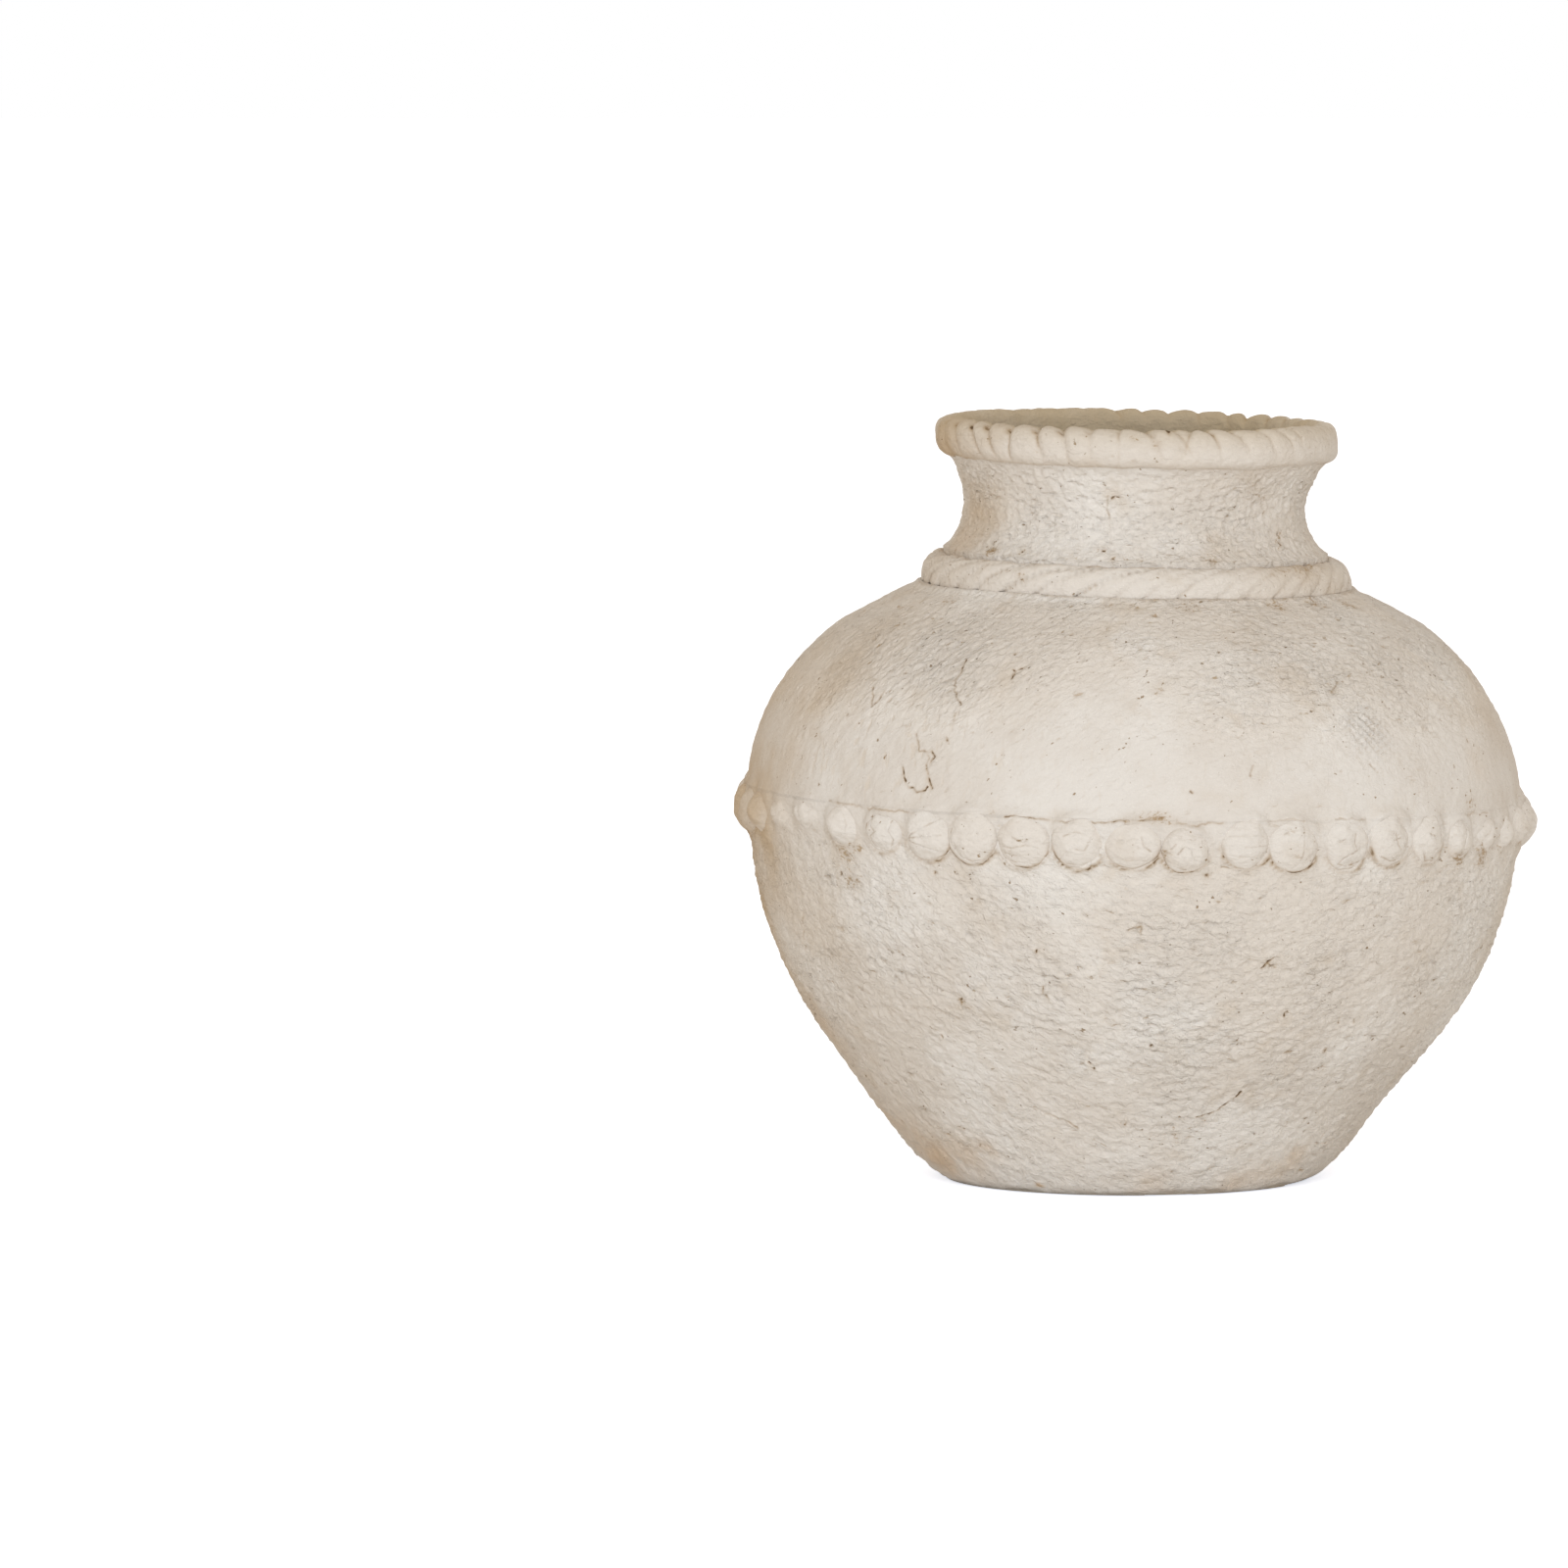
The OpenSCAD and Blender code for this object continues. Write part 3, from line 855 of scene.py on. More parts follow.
def washMaterial(name, patchSeed, ground):
    material = bpy.data.materials.new(name)
    material.use_nodes = True
    tree = material.node_tree
    shader = tree.nodes["Principled BSDF"]
    shader.inputs["Specular IOR Level"].default_value = finish["shine"]
    where = addNode(tree, "ShaderNodeTexCoord").outputs["Object"]

    def painted(layer):
        return addNode(tree, "ShaderNodeAttribute", attribute_name=layer).outputs["Fac"]

    def squashed(place, share):  # patterns on this one are pressed level, or drawn out upright
        inputs = {"Vector": place, "Location": patchSeed, "Scale": (1, 1, share)}
        return addNode(tree, "ShaderNodeMapping", inputs).outputs["Vector"]

    def pattern(kind, place):
        values = patterns[kind]
        return rangeOf(tree, noiseOf(tree, place, *values[:4]), *values[4:])

    def plus(first, second):
        return mathOf(tree, "ADD", first, second)

    def times(first, second):
        return mathOf(tree, "MULTIPLY", first, second)

    def atMost(value, most):
        return mathOf(tree, "MINIMUM", value, most)

    def cover(below, paint, share):
        return mixColour(tree, share, below, washColours[paint])

    moved = squashed(where, 1)
    fall = addNode(tree, "ShaderNodeCombineXYZ", {"Z": painted("fall")}).outputs["Vector"]
    fallen = addNode(tree, "ShaderNodeVectorMath", operation="ADD")
    tree.links.new(where, fallen.inputs[0])
    tree.links.new(fall, fallen.inputs[1])
    level = squashed(fallen.outputs["Vector"], finish["levelSquash"])
    flat = squashed(fallen.outputs["Vector"], finish["flatSquash"])

    # ground with chalky and tan patches
    colour = cover(washColours[ground], "chalk", pattern("patches", moved))
    colour = cover(colour, "tan", pattern("blotches", moved))
    sooty = times(painted("tanned"), pattern("sooty", moved))
    colour = cover(colour, "tanned", atMost(sooty, finish["mostCover"]))
    bare = times(painted("clay"), pattern("bare", moved))
    colour = cover(colour, "clay", atMost(bare, finish["mostCover"]))

    # where the wash is brushed out smooth it is painted a darker grey, as shade, with thin upright lines
    colour = cover(colour, "smoothShade", rangeOf(tree, painted("rough"), *finish["smoothShade"]))
    strokes = pattern("strokes", squashed(where, finish["uprightSquash"]))
    scratches = times(strokes, painted("brushed"))
    colour = cover(colour, "tan", times(scratches, finish["brushLines"]))

    # thin, level brown lines, most of them in the creases as painted shade, the rest brown lines over rough
    # wash; and freckles
    streaks = pattern("streaks", flat)
    inCrease = plus(times(painted("hollow"), finish["hollowLines"]),
                    times(painted("rough"), finish["roughLines"]))
    colour = cover(colour, "crease", times(streaks, atMost(inCrease, finish["mostLines"])))
    grains = plus(noiseOf(tree, level, *finish["freckleGrain"]), pattern("gathered", moved))
    freckles = rangeOf(tree, grains, *finish["freckles"])
    colour = cover(colour, "freckle", freckles)
    colour = cover(colour, "inside", times(painted("inside"), pattern("shadowed", moved)))

    # smudges are speckles that grow thicker to the middle
    smudge = painted("smudge")
    colour = cover(colour, "dirt", atMost(times(smudge, finish["veil"]), finish["mostVeil"]))
    grains = plus(noiseOf(tree, level, *finish["smudgeGrain"]), times(smudge, finish["smudgeGrowth"]))
    speckles = rangeOf(tree, grains, *finish["speckles"])
    colour = cover(colour, "dirt", times(speckles, atMost(times(smudge, finish["dust"]), 1)))

    # cracks and grooves hold dark dirt; the stain also carries painted shade along the beads' lower edges
    stained = times(painted("stain"), pattern("broken", moved))
    colour = cover(colour, "dirt", atMost(stained, finish["mostStain"]))
    colour = cover(colour, "deepDirt", rangeOf(tree, stained, *finish["deepStain"]))
    tree.links.new(colour, shader.inputs["Base Color"])
    tree.links.new(pattern("dull", moved), shader.inputs["Roughness"])

    # sand in the wash, with the marks cut into it
    surface = noiseOf(tree, level, *finish["sand"])
    for marks, cut in ((streaks, "streakCut"), (scratches, "scratchCut"), (freckles, "freckleCut")):
        surface = mathOf(tree, "SUBTRACT", surface, times(marks, finish[cut]))
    strength = plus(times(painted("rough"), finish["bumpByRough"]), finish["leastBump"])
    inputs = {"Height": surface, "Strength": strength, "Distance": finish["bumpDistance"]}
    tree.links.new(addNode(tree, "ShaderNodeBump", inputs).outputs["Normal"], shader.inputs["Normal"])
    return material


washedClay = washMaterial("washedClay", (0.31, 0.12, 0.07), "cream")
washedTrim = washMaterial("washedTrim", (0.83, 0.47, 0.26), "milk")
print("finishes ready")

# Lower bowl
bowl = {
    "frontCuts": 38,
    "backCuts": 17,
    "footRow": 1.5,
    "coneRow": 1.5,
    "row": 1.3,
    "innerRow": 15,
    "innerRound": 4,
    "innerRise": 5,
    "flatBelow": 0.4,
    "underside": 0.1,  # what is lower counts as inside
    "floorSkin": 1,  # the inside starts this far under the floor's face
    "footWear": 1.3,
    "wearHeight": 4,
    "wearReach": 6,
    "edge": 2.0,
    "edgeChip": 0.5,
    "edgeDirt": 0.4,
    "edgeLength": 14,
}
smear = {  # clay smeared up to the beads, and painted shade with some dirt along their lower edges
    "reach": 2.3,  # in half heights of a bead
    "web": 3.1,
    "ring": (0.93, 0.26),  # where it is, and its width, in half sizes of a bead
    "ringLow": 0.75,
    "ringHigh": 0.45,
    "ringRise": (-0.3, 0.8),
    "mound": 0.8,
    "moundReach": 0.95,
    "even": 0.85,
    "lump": 0.5,
    "lumpLength": 9,
    "shadeBelow": (0.1, -0.6),
    "dirt": 1.1,
    "dirtWidth": 0.06,
    "dirtLength": 13,
    "leastDirt": 0.3,
    "moreDirt": 0.7,
}


def beadCrease(place):
    if abs(place.z - bead["height"]) > smear["reach"] * bead["halfHeight"]:
        return 0, 0
    one, away = nearestBead(frontAngle(place), place.z)
    above = (place.z - one["height"]) / one["halfHeight"]
    middle, width = smear["ring"]
    thick = smear["ringLow"] + smear["ringHigh"] * ease(*smear["ringRise"], above)
    ring = smear["web"] * bump(away - middle, width) * thick
    mound = smear["mound"] * one["proud"] * bump(away, smear["moundReach"])
    uneven = smear["even"] + smear["lump"] * lumps(place, smear["lumpLength"], 2)
    shadeBelow = ease(*smear["shadeBelow"], above)
    # painted shade, with some dirt, in a line under each bead's lower edge
    dirt = smear["dirt"] * (1 - one["soft"]) * bump(away - 1, smear["dirtWidth"]) * shadeBelow
    ragged = smear["leastDirt"] + smear["moreDirt"] * patchy(place, smear["dirtLength"], 6, low=-0.25)
    return (ring + (mound - ring) * one["soft"]) * uneven, dirt * ragged


def bowlExtra(place):
    lift, stain = beadCrease(place)
    edge = bump(place.z, bowl["edge"]) * patchy(place, bowl["edgeLength"], 8, low=-0.2)
    worn = bowl["footWear"] * bump(place.z - bowl["wearHeight"], bowl["wearReach"])
    return lift - worn - bowl["edgeChip"] * edge, stain + bowl["edgeDirt"] * edge


def makeBowl():
    lean, thick, rounding = wall["coneLean"], wall["thickness"], wall["footRound"]
    seam, girdle, floor = wall["seam"], wall["girdleHeight"], wall["floor"]
    footCentre = (footRadius - rounding * math.tan((math.pi / 2 - lean) / 2), rounding)
    coneTop = (coneFoot, wall["coneHeight"])
    innerFoot = footRadius + floor * math.tan(lean) - thick / math.cos(lean)
    innerBowl = bowlArc - thick
    innerConeTop = (bowlCentre + innerBowl * math.cos(lean), girdle - innerBowl * math.sin(lean))
    innerConeFoot = (innerFoot + bowl["innerRound"], floor + bowl["innerRise"])
    innerSeam = math.asin((seam - girdle) / (shoulderArc - thick))
    line = straightLine((0, 0), (footCentre[0], 0), 2 * bowl["innerRow"])
    line += arcLine(footCentre, rounding, -math.pi / 2, -lean, bowl["footRow"])[1:]
    line += straightLine(line[-1], coneTop, bowl["coneRow"])[1:]
    line += arcLine((bowlCentre, girdle), bowlArc, -lean, 0, bowl["row"])[1:]
    line += arcLine((shoulderCentre, girdle), shoulderArc, 0, wallAt(seam)[1], bowl["row"])[1:]
    line += arcLine((shoulderCentre, girdle), shoulderArc - thick, innerSeam, 0, bowl["innerRow"])
    line += arcLine((bowlCentre, girdle), innerBowl, 0, -lean, bowl["innerRow"])[1:]
    line += straightLine(innerConeTop, innerConeFoot, bowl["innerRow"])[1:]
    line += [(innerFoot - bowl["innerRound"], floor), (innerFoot / 2, floor), (0, floor)]
    bm = spinLine(line, bowl["frontCuts"], bowl["backCuts"])
    markCorners(bm)

    def isInside(place):
        reach = math.hypot(place.x, place.y)
        deep = place.z > floor - bowl["floorSkin"] and reach < wallAt(place.z)[0] - thick / 2
        return deep or place.z < bowl["underside"]

    dressWall(bm, isInside, bowlExtra)
    for vert in bm.verts:  # the underside is flat
        if vert.co.z < bowl["flatBelow"]:
            vert.co.z = 0
    return finishPiece(bm, "lowerBowl", washedClay, ["lower_bowl"])


lowerBowl = makeBowl()
print("lower bowl:", triangles(lowerBowl), "triangles")

# Shoulder
shoulder = {
    "row": 1.0,
    "innerRow": 14,
    "ledgeRow": 1.5,
    "smearFrom": 9,  # below the ledge; clay is smeared up to the collar's foot
    "smear": 2.2,
    "smearWidth": 2.4,
    "dirt": 0.45,
    "dirtAway": 0.6,
    "dirtWidth": 0.9,
    "dirtLength": 16,
}


def shoulderExtra(place):
    lift, stain = beadCrease(place)
    if place.z < wall["ledge"] - shoulder["smearFrom"]:
        return lift, stain
    away = math.hypot(place.x, place.y) - collarHigh.x
    dirt = shoulder["dirt"] * bump(away - shoulder["dirtAway"], shoulder["dirtWidth"])
    lift += shoulder["smear"] * bump(away, shoulder["smearWidth"])
    return lift, stain + dirt * patchy(place, shoulder["dirtLength"], 13)


def makeShoulder():
    thick, seam, girdle = wall["thickness"], wall["seam"], wall["girdleHeight"]
    topTilt = math.asin(shoulderRise / shoulderArc)
    innerRadius = shoulderArc - thick
    opening = wall["neckFoot"] - thick / 2
    innerTop = math.acos((opening - shoulderCentre) / innerRadius)
    innerSeam = math.asin((seam - girdle) / innerRadius)
    line = arcLine((shoulderCentre, girdle), shoulderArc, wallAt(seam)[1], topTilt, shoulder["row"])
    line += straightLine(line[-1], (opening, wall["ledge"]), shoulder["ledgeRow"])[1:]
    line += arcLine((shoulderCentre, girdle), innerRadius, innerTop, innerSeam, shoulder["innerRow"])
    bm = spinLine(line, bowl["frontCuts"], bowl["backCuts"], closed=True)  # as the bowl, so the seam closes
    markCorners(bm)

    def isInside(place):
        justBelow = min(place.z, wall["ledge"] - 0.01)
        return math.hypot(place.x, place.y) < wallAt(justBelow)[0] - thick / 2

    dressWall(bm, isInside, shoulderExtra)
    return finishPiece(bm, "shoulderWall", washedClay, ["shoulder"])


shoulderWall = makeShoulder()
print("shoulder:", triangles(shoulderWall), "triangles")

# Neck
neck = {
    "frontCuts": 40,
    "backCuts": 24,
    "row": 0.9,
    "footRow": 3,
    "footRise": 4,
    "innerRow": 4,
    "intoRim": 0.6,
    "intoLedge": 3,
    "footSmear": (0.8, 2.5),  # clay where the collar meets the neck: height and reach
    "footDirt": (0.5, 0.6, 1.0),  # strength, how far off, width
    "lipDirt": (0.3, 0.4, 0.7),
    "dirtLength": 16,
}


def neckExtra(place):
    foot = place.z - collarHigh.z
    ragged = patchy(place, neck["dirtLength"], 17, low=-0.4)
    stain = 0
    for away, dirt in ((wall["lip"] - place.z, neck["lipDirt"]), (foot, neck["footDirt"])):
        strength, middle, width = dirt
        stain += strength * bump(away - middle, width) * ragged
    rise, reach = neck["footSmear"]
    return rise * bump(foot, reach), stain


def makeNeck():
    thick, cove, waist = wall["thickness"], wall["cove"], wall["waistHeight"]
    foot, ledge = wall["neckFoot"], wall["ledge"]
    innerCove = cove + thick
    top = wall["lip"] + neck["intoRim"]
    footTop = waist - math.sqrt(cove ** 2 - (coveCentre - foot) ** 2)
    bore = foot - thick
    boreTop = waist - math.sqrt(innerCove ** 2 - (coveCentre - bore) ** 2)

    def coveLine(radius, start, end, row):
        turns = [math.pi - math.asin((height - waist) / radius) for height in (start, end)]
        return arcLine((coveCentre, waist), radius, *turns, row)

    line = straightLine((foot, ledge + neck["footRise"]), (foot, footTop), neck["footRow"])
    line += coveLine(cove, footTop, top, neck["row"])[1:]
    line += coveLine(innerCove, top, boreTop, neck["innerRow"])
    line += straightLine((bore, boreTop), (bore, ledge - neck["intoLedge"]), neck["innerRow"])[1:]
    bm = spinLine(line, neck["frontCuts"], neck["backCuts"], closed=True)
    markCorners(bm)

    def isInside(place):
        return math.hypot(place.x, place.y) < wallAt(place.z)[0] - thick / 2

    dressWall(bm, isInside, neckExtra)
    return finishPiece(bm, "neckWall", washedClay, ["neck"])


neckWall = makeNeck()
print("neck:", triangles(neckWall), "triangles")

# Ropes: a full section with grooves pressed across it. A groove is (angle, slant, depth)
rim = {
    "section": 50,
    "frontCuts": 62,
    "backCuts": 40,
    "fullness": 2.5,
    "lowFullness": 2.7,
    "middle": (0.5, 0.5),
    "bend": 1.0,
    "pivot": 0.4,
    "front": [(-64.6, 7, 1.6), (-54.4, 8.5, 1.8), (-47.5, 6.7, 1.7), (-40.6, 0.7, 1.8),
              (-30.3, 3, 1.8), (-22, 3.5, 1.8), (-14.9, 0, 1.0), (-6.5, 0, 0.8), (4.8, 5, 1.6),
              (13.6, 6.2, 1.2), (12.5, -4.6, 1.1), (22.9, 4, 1.7), (32.3, 6, 1.7), (41.7, 5, 1.4),
              (49.3, 5, 1.1), (54, 3, 0.6), (63, 4, 0.15), (73, 4, 0.15), (83, 4, 0.25)],
    "pitch": 8.8,
    "slant": 6,
    "depth": 1.4,
    "slot": 1.1,
    "slope": (4.2, 2.4),  # to the left of a groove and to its right
    "line": 0.7,
    "lineDirt": 0.35,
    "dirtSide": 1.2,  # the dirt lies on the side that faces the front
    "dirtWidth": 1.5,
    "tint": 0.42,
    "tan": 0.17,
    "leftTan": 0.7,
    "rightTan": 0,
    "seed": 7,
    "insideFrom": 64,  # turn where the inside starts
}
collar = {
    "section": 44,
    "frontCuts": 60,
    "backCuts": 36,
    "fullness": 2.1,
    "lowFullness": 3.6,
    "middle": (0.25, 0.3),
    "bend": 1.8,
    "pivot": 0,
    "front": [(-60, -22, 1.0), (-51, -22, 1.6), (-43, -32, 1.8), (-32, -26, 1.4), (-20.5, -28, 1.6),
              (-10, -24, 0.8), (-2, -22, 0.9), (7, -20, 1.1), (17.5, -22, 1.0), (26, -22, 0.7),
              (35.5, -22, 1.0), (43, -20, 0.9), (50.5, -20, 1.0), (58, -20, 1.1)],
    "pitch": 9.3,
    "slant": -24,
    "depth": 1.4,
    "slot": 0.8,
    "slope": (1.9, 4.6),
    "line": 0.95,
    "lineDirt": 0.22,
    "dirtSide": 0,
    "dirtWidth": 1,
    "tint": 0.06,
    "tan": 0,
    "leftTan": 0.3,
    "rightTan": 0.4,
    "seed": 12,
    "insideFrom": 400,  # never reached: it has no inside
    "intoNeck": 1.5,
    "intoLedge": 0.6,
}
roping = {  # for both ropes
    "jitter": (-0.9, 0.9),  # grooves round the back stray in angle, slant and depth
    "slants": (0.8, 1.2),
    "depths": (0.7, 1.25),
    "firstTurn": -135,  # turns round the section are counted from here
    "footTurn": -60,  # a groove's slant grows from the outside's foot to the top
    "topTurn": 90,
    "near": 3,  # grooves on either side that a place can feel
    "widths": 3,  # and how many slopes away
    "slotShare": 0.45,
    "slopeShare": 0.65,
    "leastDirt": 0.08,
    "dirtLength": 9,
    "dabs": 0.4,
    "dabShare": 0.5,
    "lump": (0.7, 15),  # height and length
    "smallLump": (0.3, 6),
    "rough": 0.5,
    "leftTan": (-76, 26),  # angle and half width
    "rightTan": (56, 22),
    "insideReach": 40,
    "tintTurns": (-20, 60),
}


def ropeGrooves(rope):  # the grooves at the front, and even ones on round the back, by angle
    draw = random.Random(rope["seed"])
    first, last = rope["front"][0][0], rope["front"][-1][0]
    gaps = round((360 - (last - first)) / rope["pitch"])
    pitch = (360 - (last - first)) / gaps
    rest = []
    for i in range(1, gaps):
        angle = last + pitch * i + draw.uniform(*roping["jitter"])
        slant = rope["slant"] * draw.uniform(*roping["slants"])
        rest.append((angle, slant, rope["depth"] * draw.uniform(*roping["depths"])))
    return sorted((angle % 360, slant, depth) for angle, slant, depth in rope["front"] + rest)


def ropeSection(rope, low, high):
    centre = [a + share * (b - a) for a, b, share in zip(low, high, rope["middle"])]
    line = []
    for i in range(rope["section"]):
        turn = math.tau * i / rope["section"]
        power = 2 / (rope["fullness"] if math.sin(turn) > 0 else rope["lowFullness"])
        spot = []
        for part, middle, start, end in zip((math.cos(turn), math.sin(turn)), centre, low, high):
            reach = end - middle if part > 0 else middle - start
            spot.append(middle + math.copysign(abs(part) ** power, part) * reach)
        line.append(tuple(spot))
    return centre, line


def sideTan(rope, angle):
    left, leftReach = roping["leftTan"]
    right, rightReach = roping["rightTan"]
    onLeft = rope["leftTan"] * bump(angle - left, leftReach)
    return onLeft + rope["rightTan"] * bump(angle - right, rightReach)


def makeRope(rope, low, high, fade, dirt, notchDirt, name, node):
    centre, line = ropeSection(rope, low, high)
    bm = spinLine(line, rope["frontCuts"], rope["backCuts"], closed=True)
    layers = paintLayers(bm)
    grooves = ropeGrooves(rope)
    angles = [groove[0] for groove in grooves]
    half = ((high[0] - low[0]) / 2, (high[1] - low[1]) / 2)
    climb = roping["topTurn"] - roping["footTurn"]
    size, length = roping["lump"]
    smallSize, smallLength = roping["smallLump"]
    insideTurns = (rope["insideFrom"], rope["insideFrom"] + roping["insideReach"])
    bm.normal_update()
    for vert in bm.verts:
        place = vert.co.copy()
        reach = math.hypot(place.x, place.y)
        turn = math.degrees(math.atan2((place.z - centre[1]) / half[1], (reach - centre[0]) / half[0]))
        turn = turn if turn > roping["firstTurn"] else turn + 360
        way = max(0, (turn - roping["footTurn"]) / climb) ** rope["bend"] - rope["pivot"]
        angle = frontAngle(place)
        nearest = bisect_right(angles, (angle + rope["slant"] * way) % 360)
        faded = fade(turn, angle)
        spread = roping["leastDirt"] + rope["lineDirt"] * patchy(place, roping["dirtLength"], 3, -0.1, 0.4)
        notched = notchDirt(angle, turn)
        lift, stain = 0, 0
        for i in range(nearest - roping["near"], nearest + roping["near"]):
            middle, slant, depth = grooves[i % len(grooves)]
            away = math.radians(halfTurn(angle - middle + slant * way)) * reach
            if abs(away) > roping["widths"] * max(rope["slope"]):
                continue
            pressed = depth * faded
            slope = roping["slopeShare"] * bump(away, rope["slope"][away > 0])
            lift -= pressed * (roping["slotShare"] * bump(away, rope["slot"]) + slope)
            stain += pressed * bump(away, rope["line"]) * spread
            stain += notched * bump(away + rope["dirtSide"], rope["dirtWidth"])
        rolled, crease, depth = dabs(place, roping["dabs"])
        lift += (roping["dabShare"] * rolled + size * lumps(place, length, 21)
                 + smallSize * lumps(place, smallLength, 22))
        stained, smudged = dirt(place, angle, turn)
        # creases under the dabs get painted shade
        vert[layers["hollow"]] = crease
        vert[layers["rough"]] = roping["rough"]
        vert[layers["stain"]] = stain + stained
        vert[layers["smudge"]] = smudged
        vert[layers["tanned"]] = rope["tan"] + sideTan(rope, angle)
        tinted = rope["tint"] * ease(*roping["tintTurns"], turn)
        vert[layers["inside"]] = max(ease(*insideTurns, turn), tinted)
        vert.co = place + vert.normal * lift
    return finishPiece(bm, name, washedTrim, [node])


def between(edges, angle):  # 1 between two soft edges
    return ease(*edges[0], angle) * ease(*edges[1], angle)


def marked(marks, angle, turn):
    return sum(strength * bump(angle - middle, width) * bump(turn - height, reach)
               for middle, width, height, reach, strength in marks)


def alongEdge(edge, turn, side=0):
    middle, width, strength, more = edge
    return (strength + more * side) * bump(turn - middle, width)


# Wear and dirt of the ropes. A mark is angle, half width, turn, half height, strength
# What runs along an edge is turn, width, strength, and how much is added at the side
rimWear = {
    "climb": ((-10, 25), (150, 90)),  # on the right the grooves start higher up
    "start": (-75, 15),
    "climbBy": (30, 35),
    "worn": 0.75,  # at the back left
    "wornAngles": ((-88, -105), (-179, -165)),
    "notch": (70, 24, 0.75, -0.5),  # deepest over the top edge
    "inside": 0.75,
    "insideTurns": (120, 170),
    "foot": (-70, 9, 0.4, 0),
    "crack": [(8, 0.6, 76, 22, 2.4)],
    "smudges": [(-44, 24, 75, 20, 0.5), (4.6, 1.6, 15, 16, 0.8), (-2.2, 1.8, 32, 12, 0.8)],
    "notches": [(-54, 22, 52, 16, 1.2), (-24, 10, 52, 16, 0.5), (4, 8, 52, 16, 0.3)],
    "line": (-40.4, 0.35, 0.45),  # a thin upright line: angle, width, strength
    "lineWander": (0.6, 4),
    "lineTurns": ((-70, -40), (100, 60)),
}
collarWear = {
    "start": (-75, -40),
    "inside": 0.8,
    "insideTurns": (95, 140),
    "side": (53, 15),
    "foot": (-58, 9, 0.4, 0.5),
    "top": (92, 10, 0.5, 0.3),
    "smudges": [(53, 15, -50, 25, 0.7), (53, 15, 70, 40, 0.7), (-33, 1.6, 25, 12, 0.9)],
}


def rimFade(turn, angle):
    right = between(rimWear["climb"], angle)
    low, high = (start + more * right for start, more in zip(rimWear["start"], rimWear["climbBy"]))
    worn = 1 - rimWear["worn"] * between(rimWear["wornAngles"], angle)
    notch = 1 + alongEdge(rimWear["notch"], turn, right)
    inside = 1 - rimWear["inside"] * ease(*rimWear["insideTurns"], turn)
    return worn * ease(low, high, turn) * notch * inside


def rimDirt(place, angle, turn):
    middle, width, strength = rimWear["line"]
    wander, length = rimWear["lineWander"]
    off = angle - middle + wander * lumps(place, length, 41)
    line = strength * bump(off, width) * between(rimWear["lineTurns"], turn)
    foot = alongEdge(rimWear["foot"], turn) * patchy(place, 18, 31)
    return foot + marked(rimWear["crack"], angle, turn) + line, marked(rimWear["smudges"], angle, turn)


def rimNotchDirt(angle, turn):  # brown dirt packed in the notches of the top edge, most of it on the left
    return marked(rimWear["notches"], angle, turn)


def collarFade(turn, angle):
    inside = 1 - collarWear["inside"] * ease(*collarWear["insideTurns"], turn)
    return ease(*collarWear["start"], turn) * inside


def collarDirt(place, angle, turn):
    middle, width = collarWear["side"]
    side = bump(angle - middle, width)
    foot = alongEdge(collarWear["foot"], turn, side) * patchy(place, 14, 33, high=0.25)
    top = alongEdge(collarWear["top"], turn, side) * patchy(place, 17, 35)
    return foot + top, marked(collarWear["smudges"], angle, turn)


def collarNotchDirt(angle, turn):
    return 0


innerCove = wall["cove"] + wall["thickness"]
mouth = coveCentre - math.sqrt(innerCove ** 2 - (wall["lip"] - wall["waistHeight"]) ** 2)
rimRope = makeRope(rim, (mouth, rimLow.z), (rimHigh.x, rimHigh.z), rimFade, rimDirt, rimNotchDirt,
                   "rimRope", "rim_rope")
collarStart = (wall["neckFoot"] - collar["intoNeck"], wall["ledge"] - collar["intoLedge"])
collarRope = makeRope(collar, collarStart, (collarHigh.x, collarHigh.z), collarFade, collarDirt,
                      collarNotchDirt, "collarRope", "collar_rope")
print("ropes:", triangles(rimRope), "and", triangles(collarRope), "triangles")

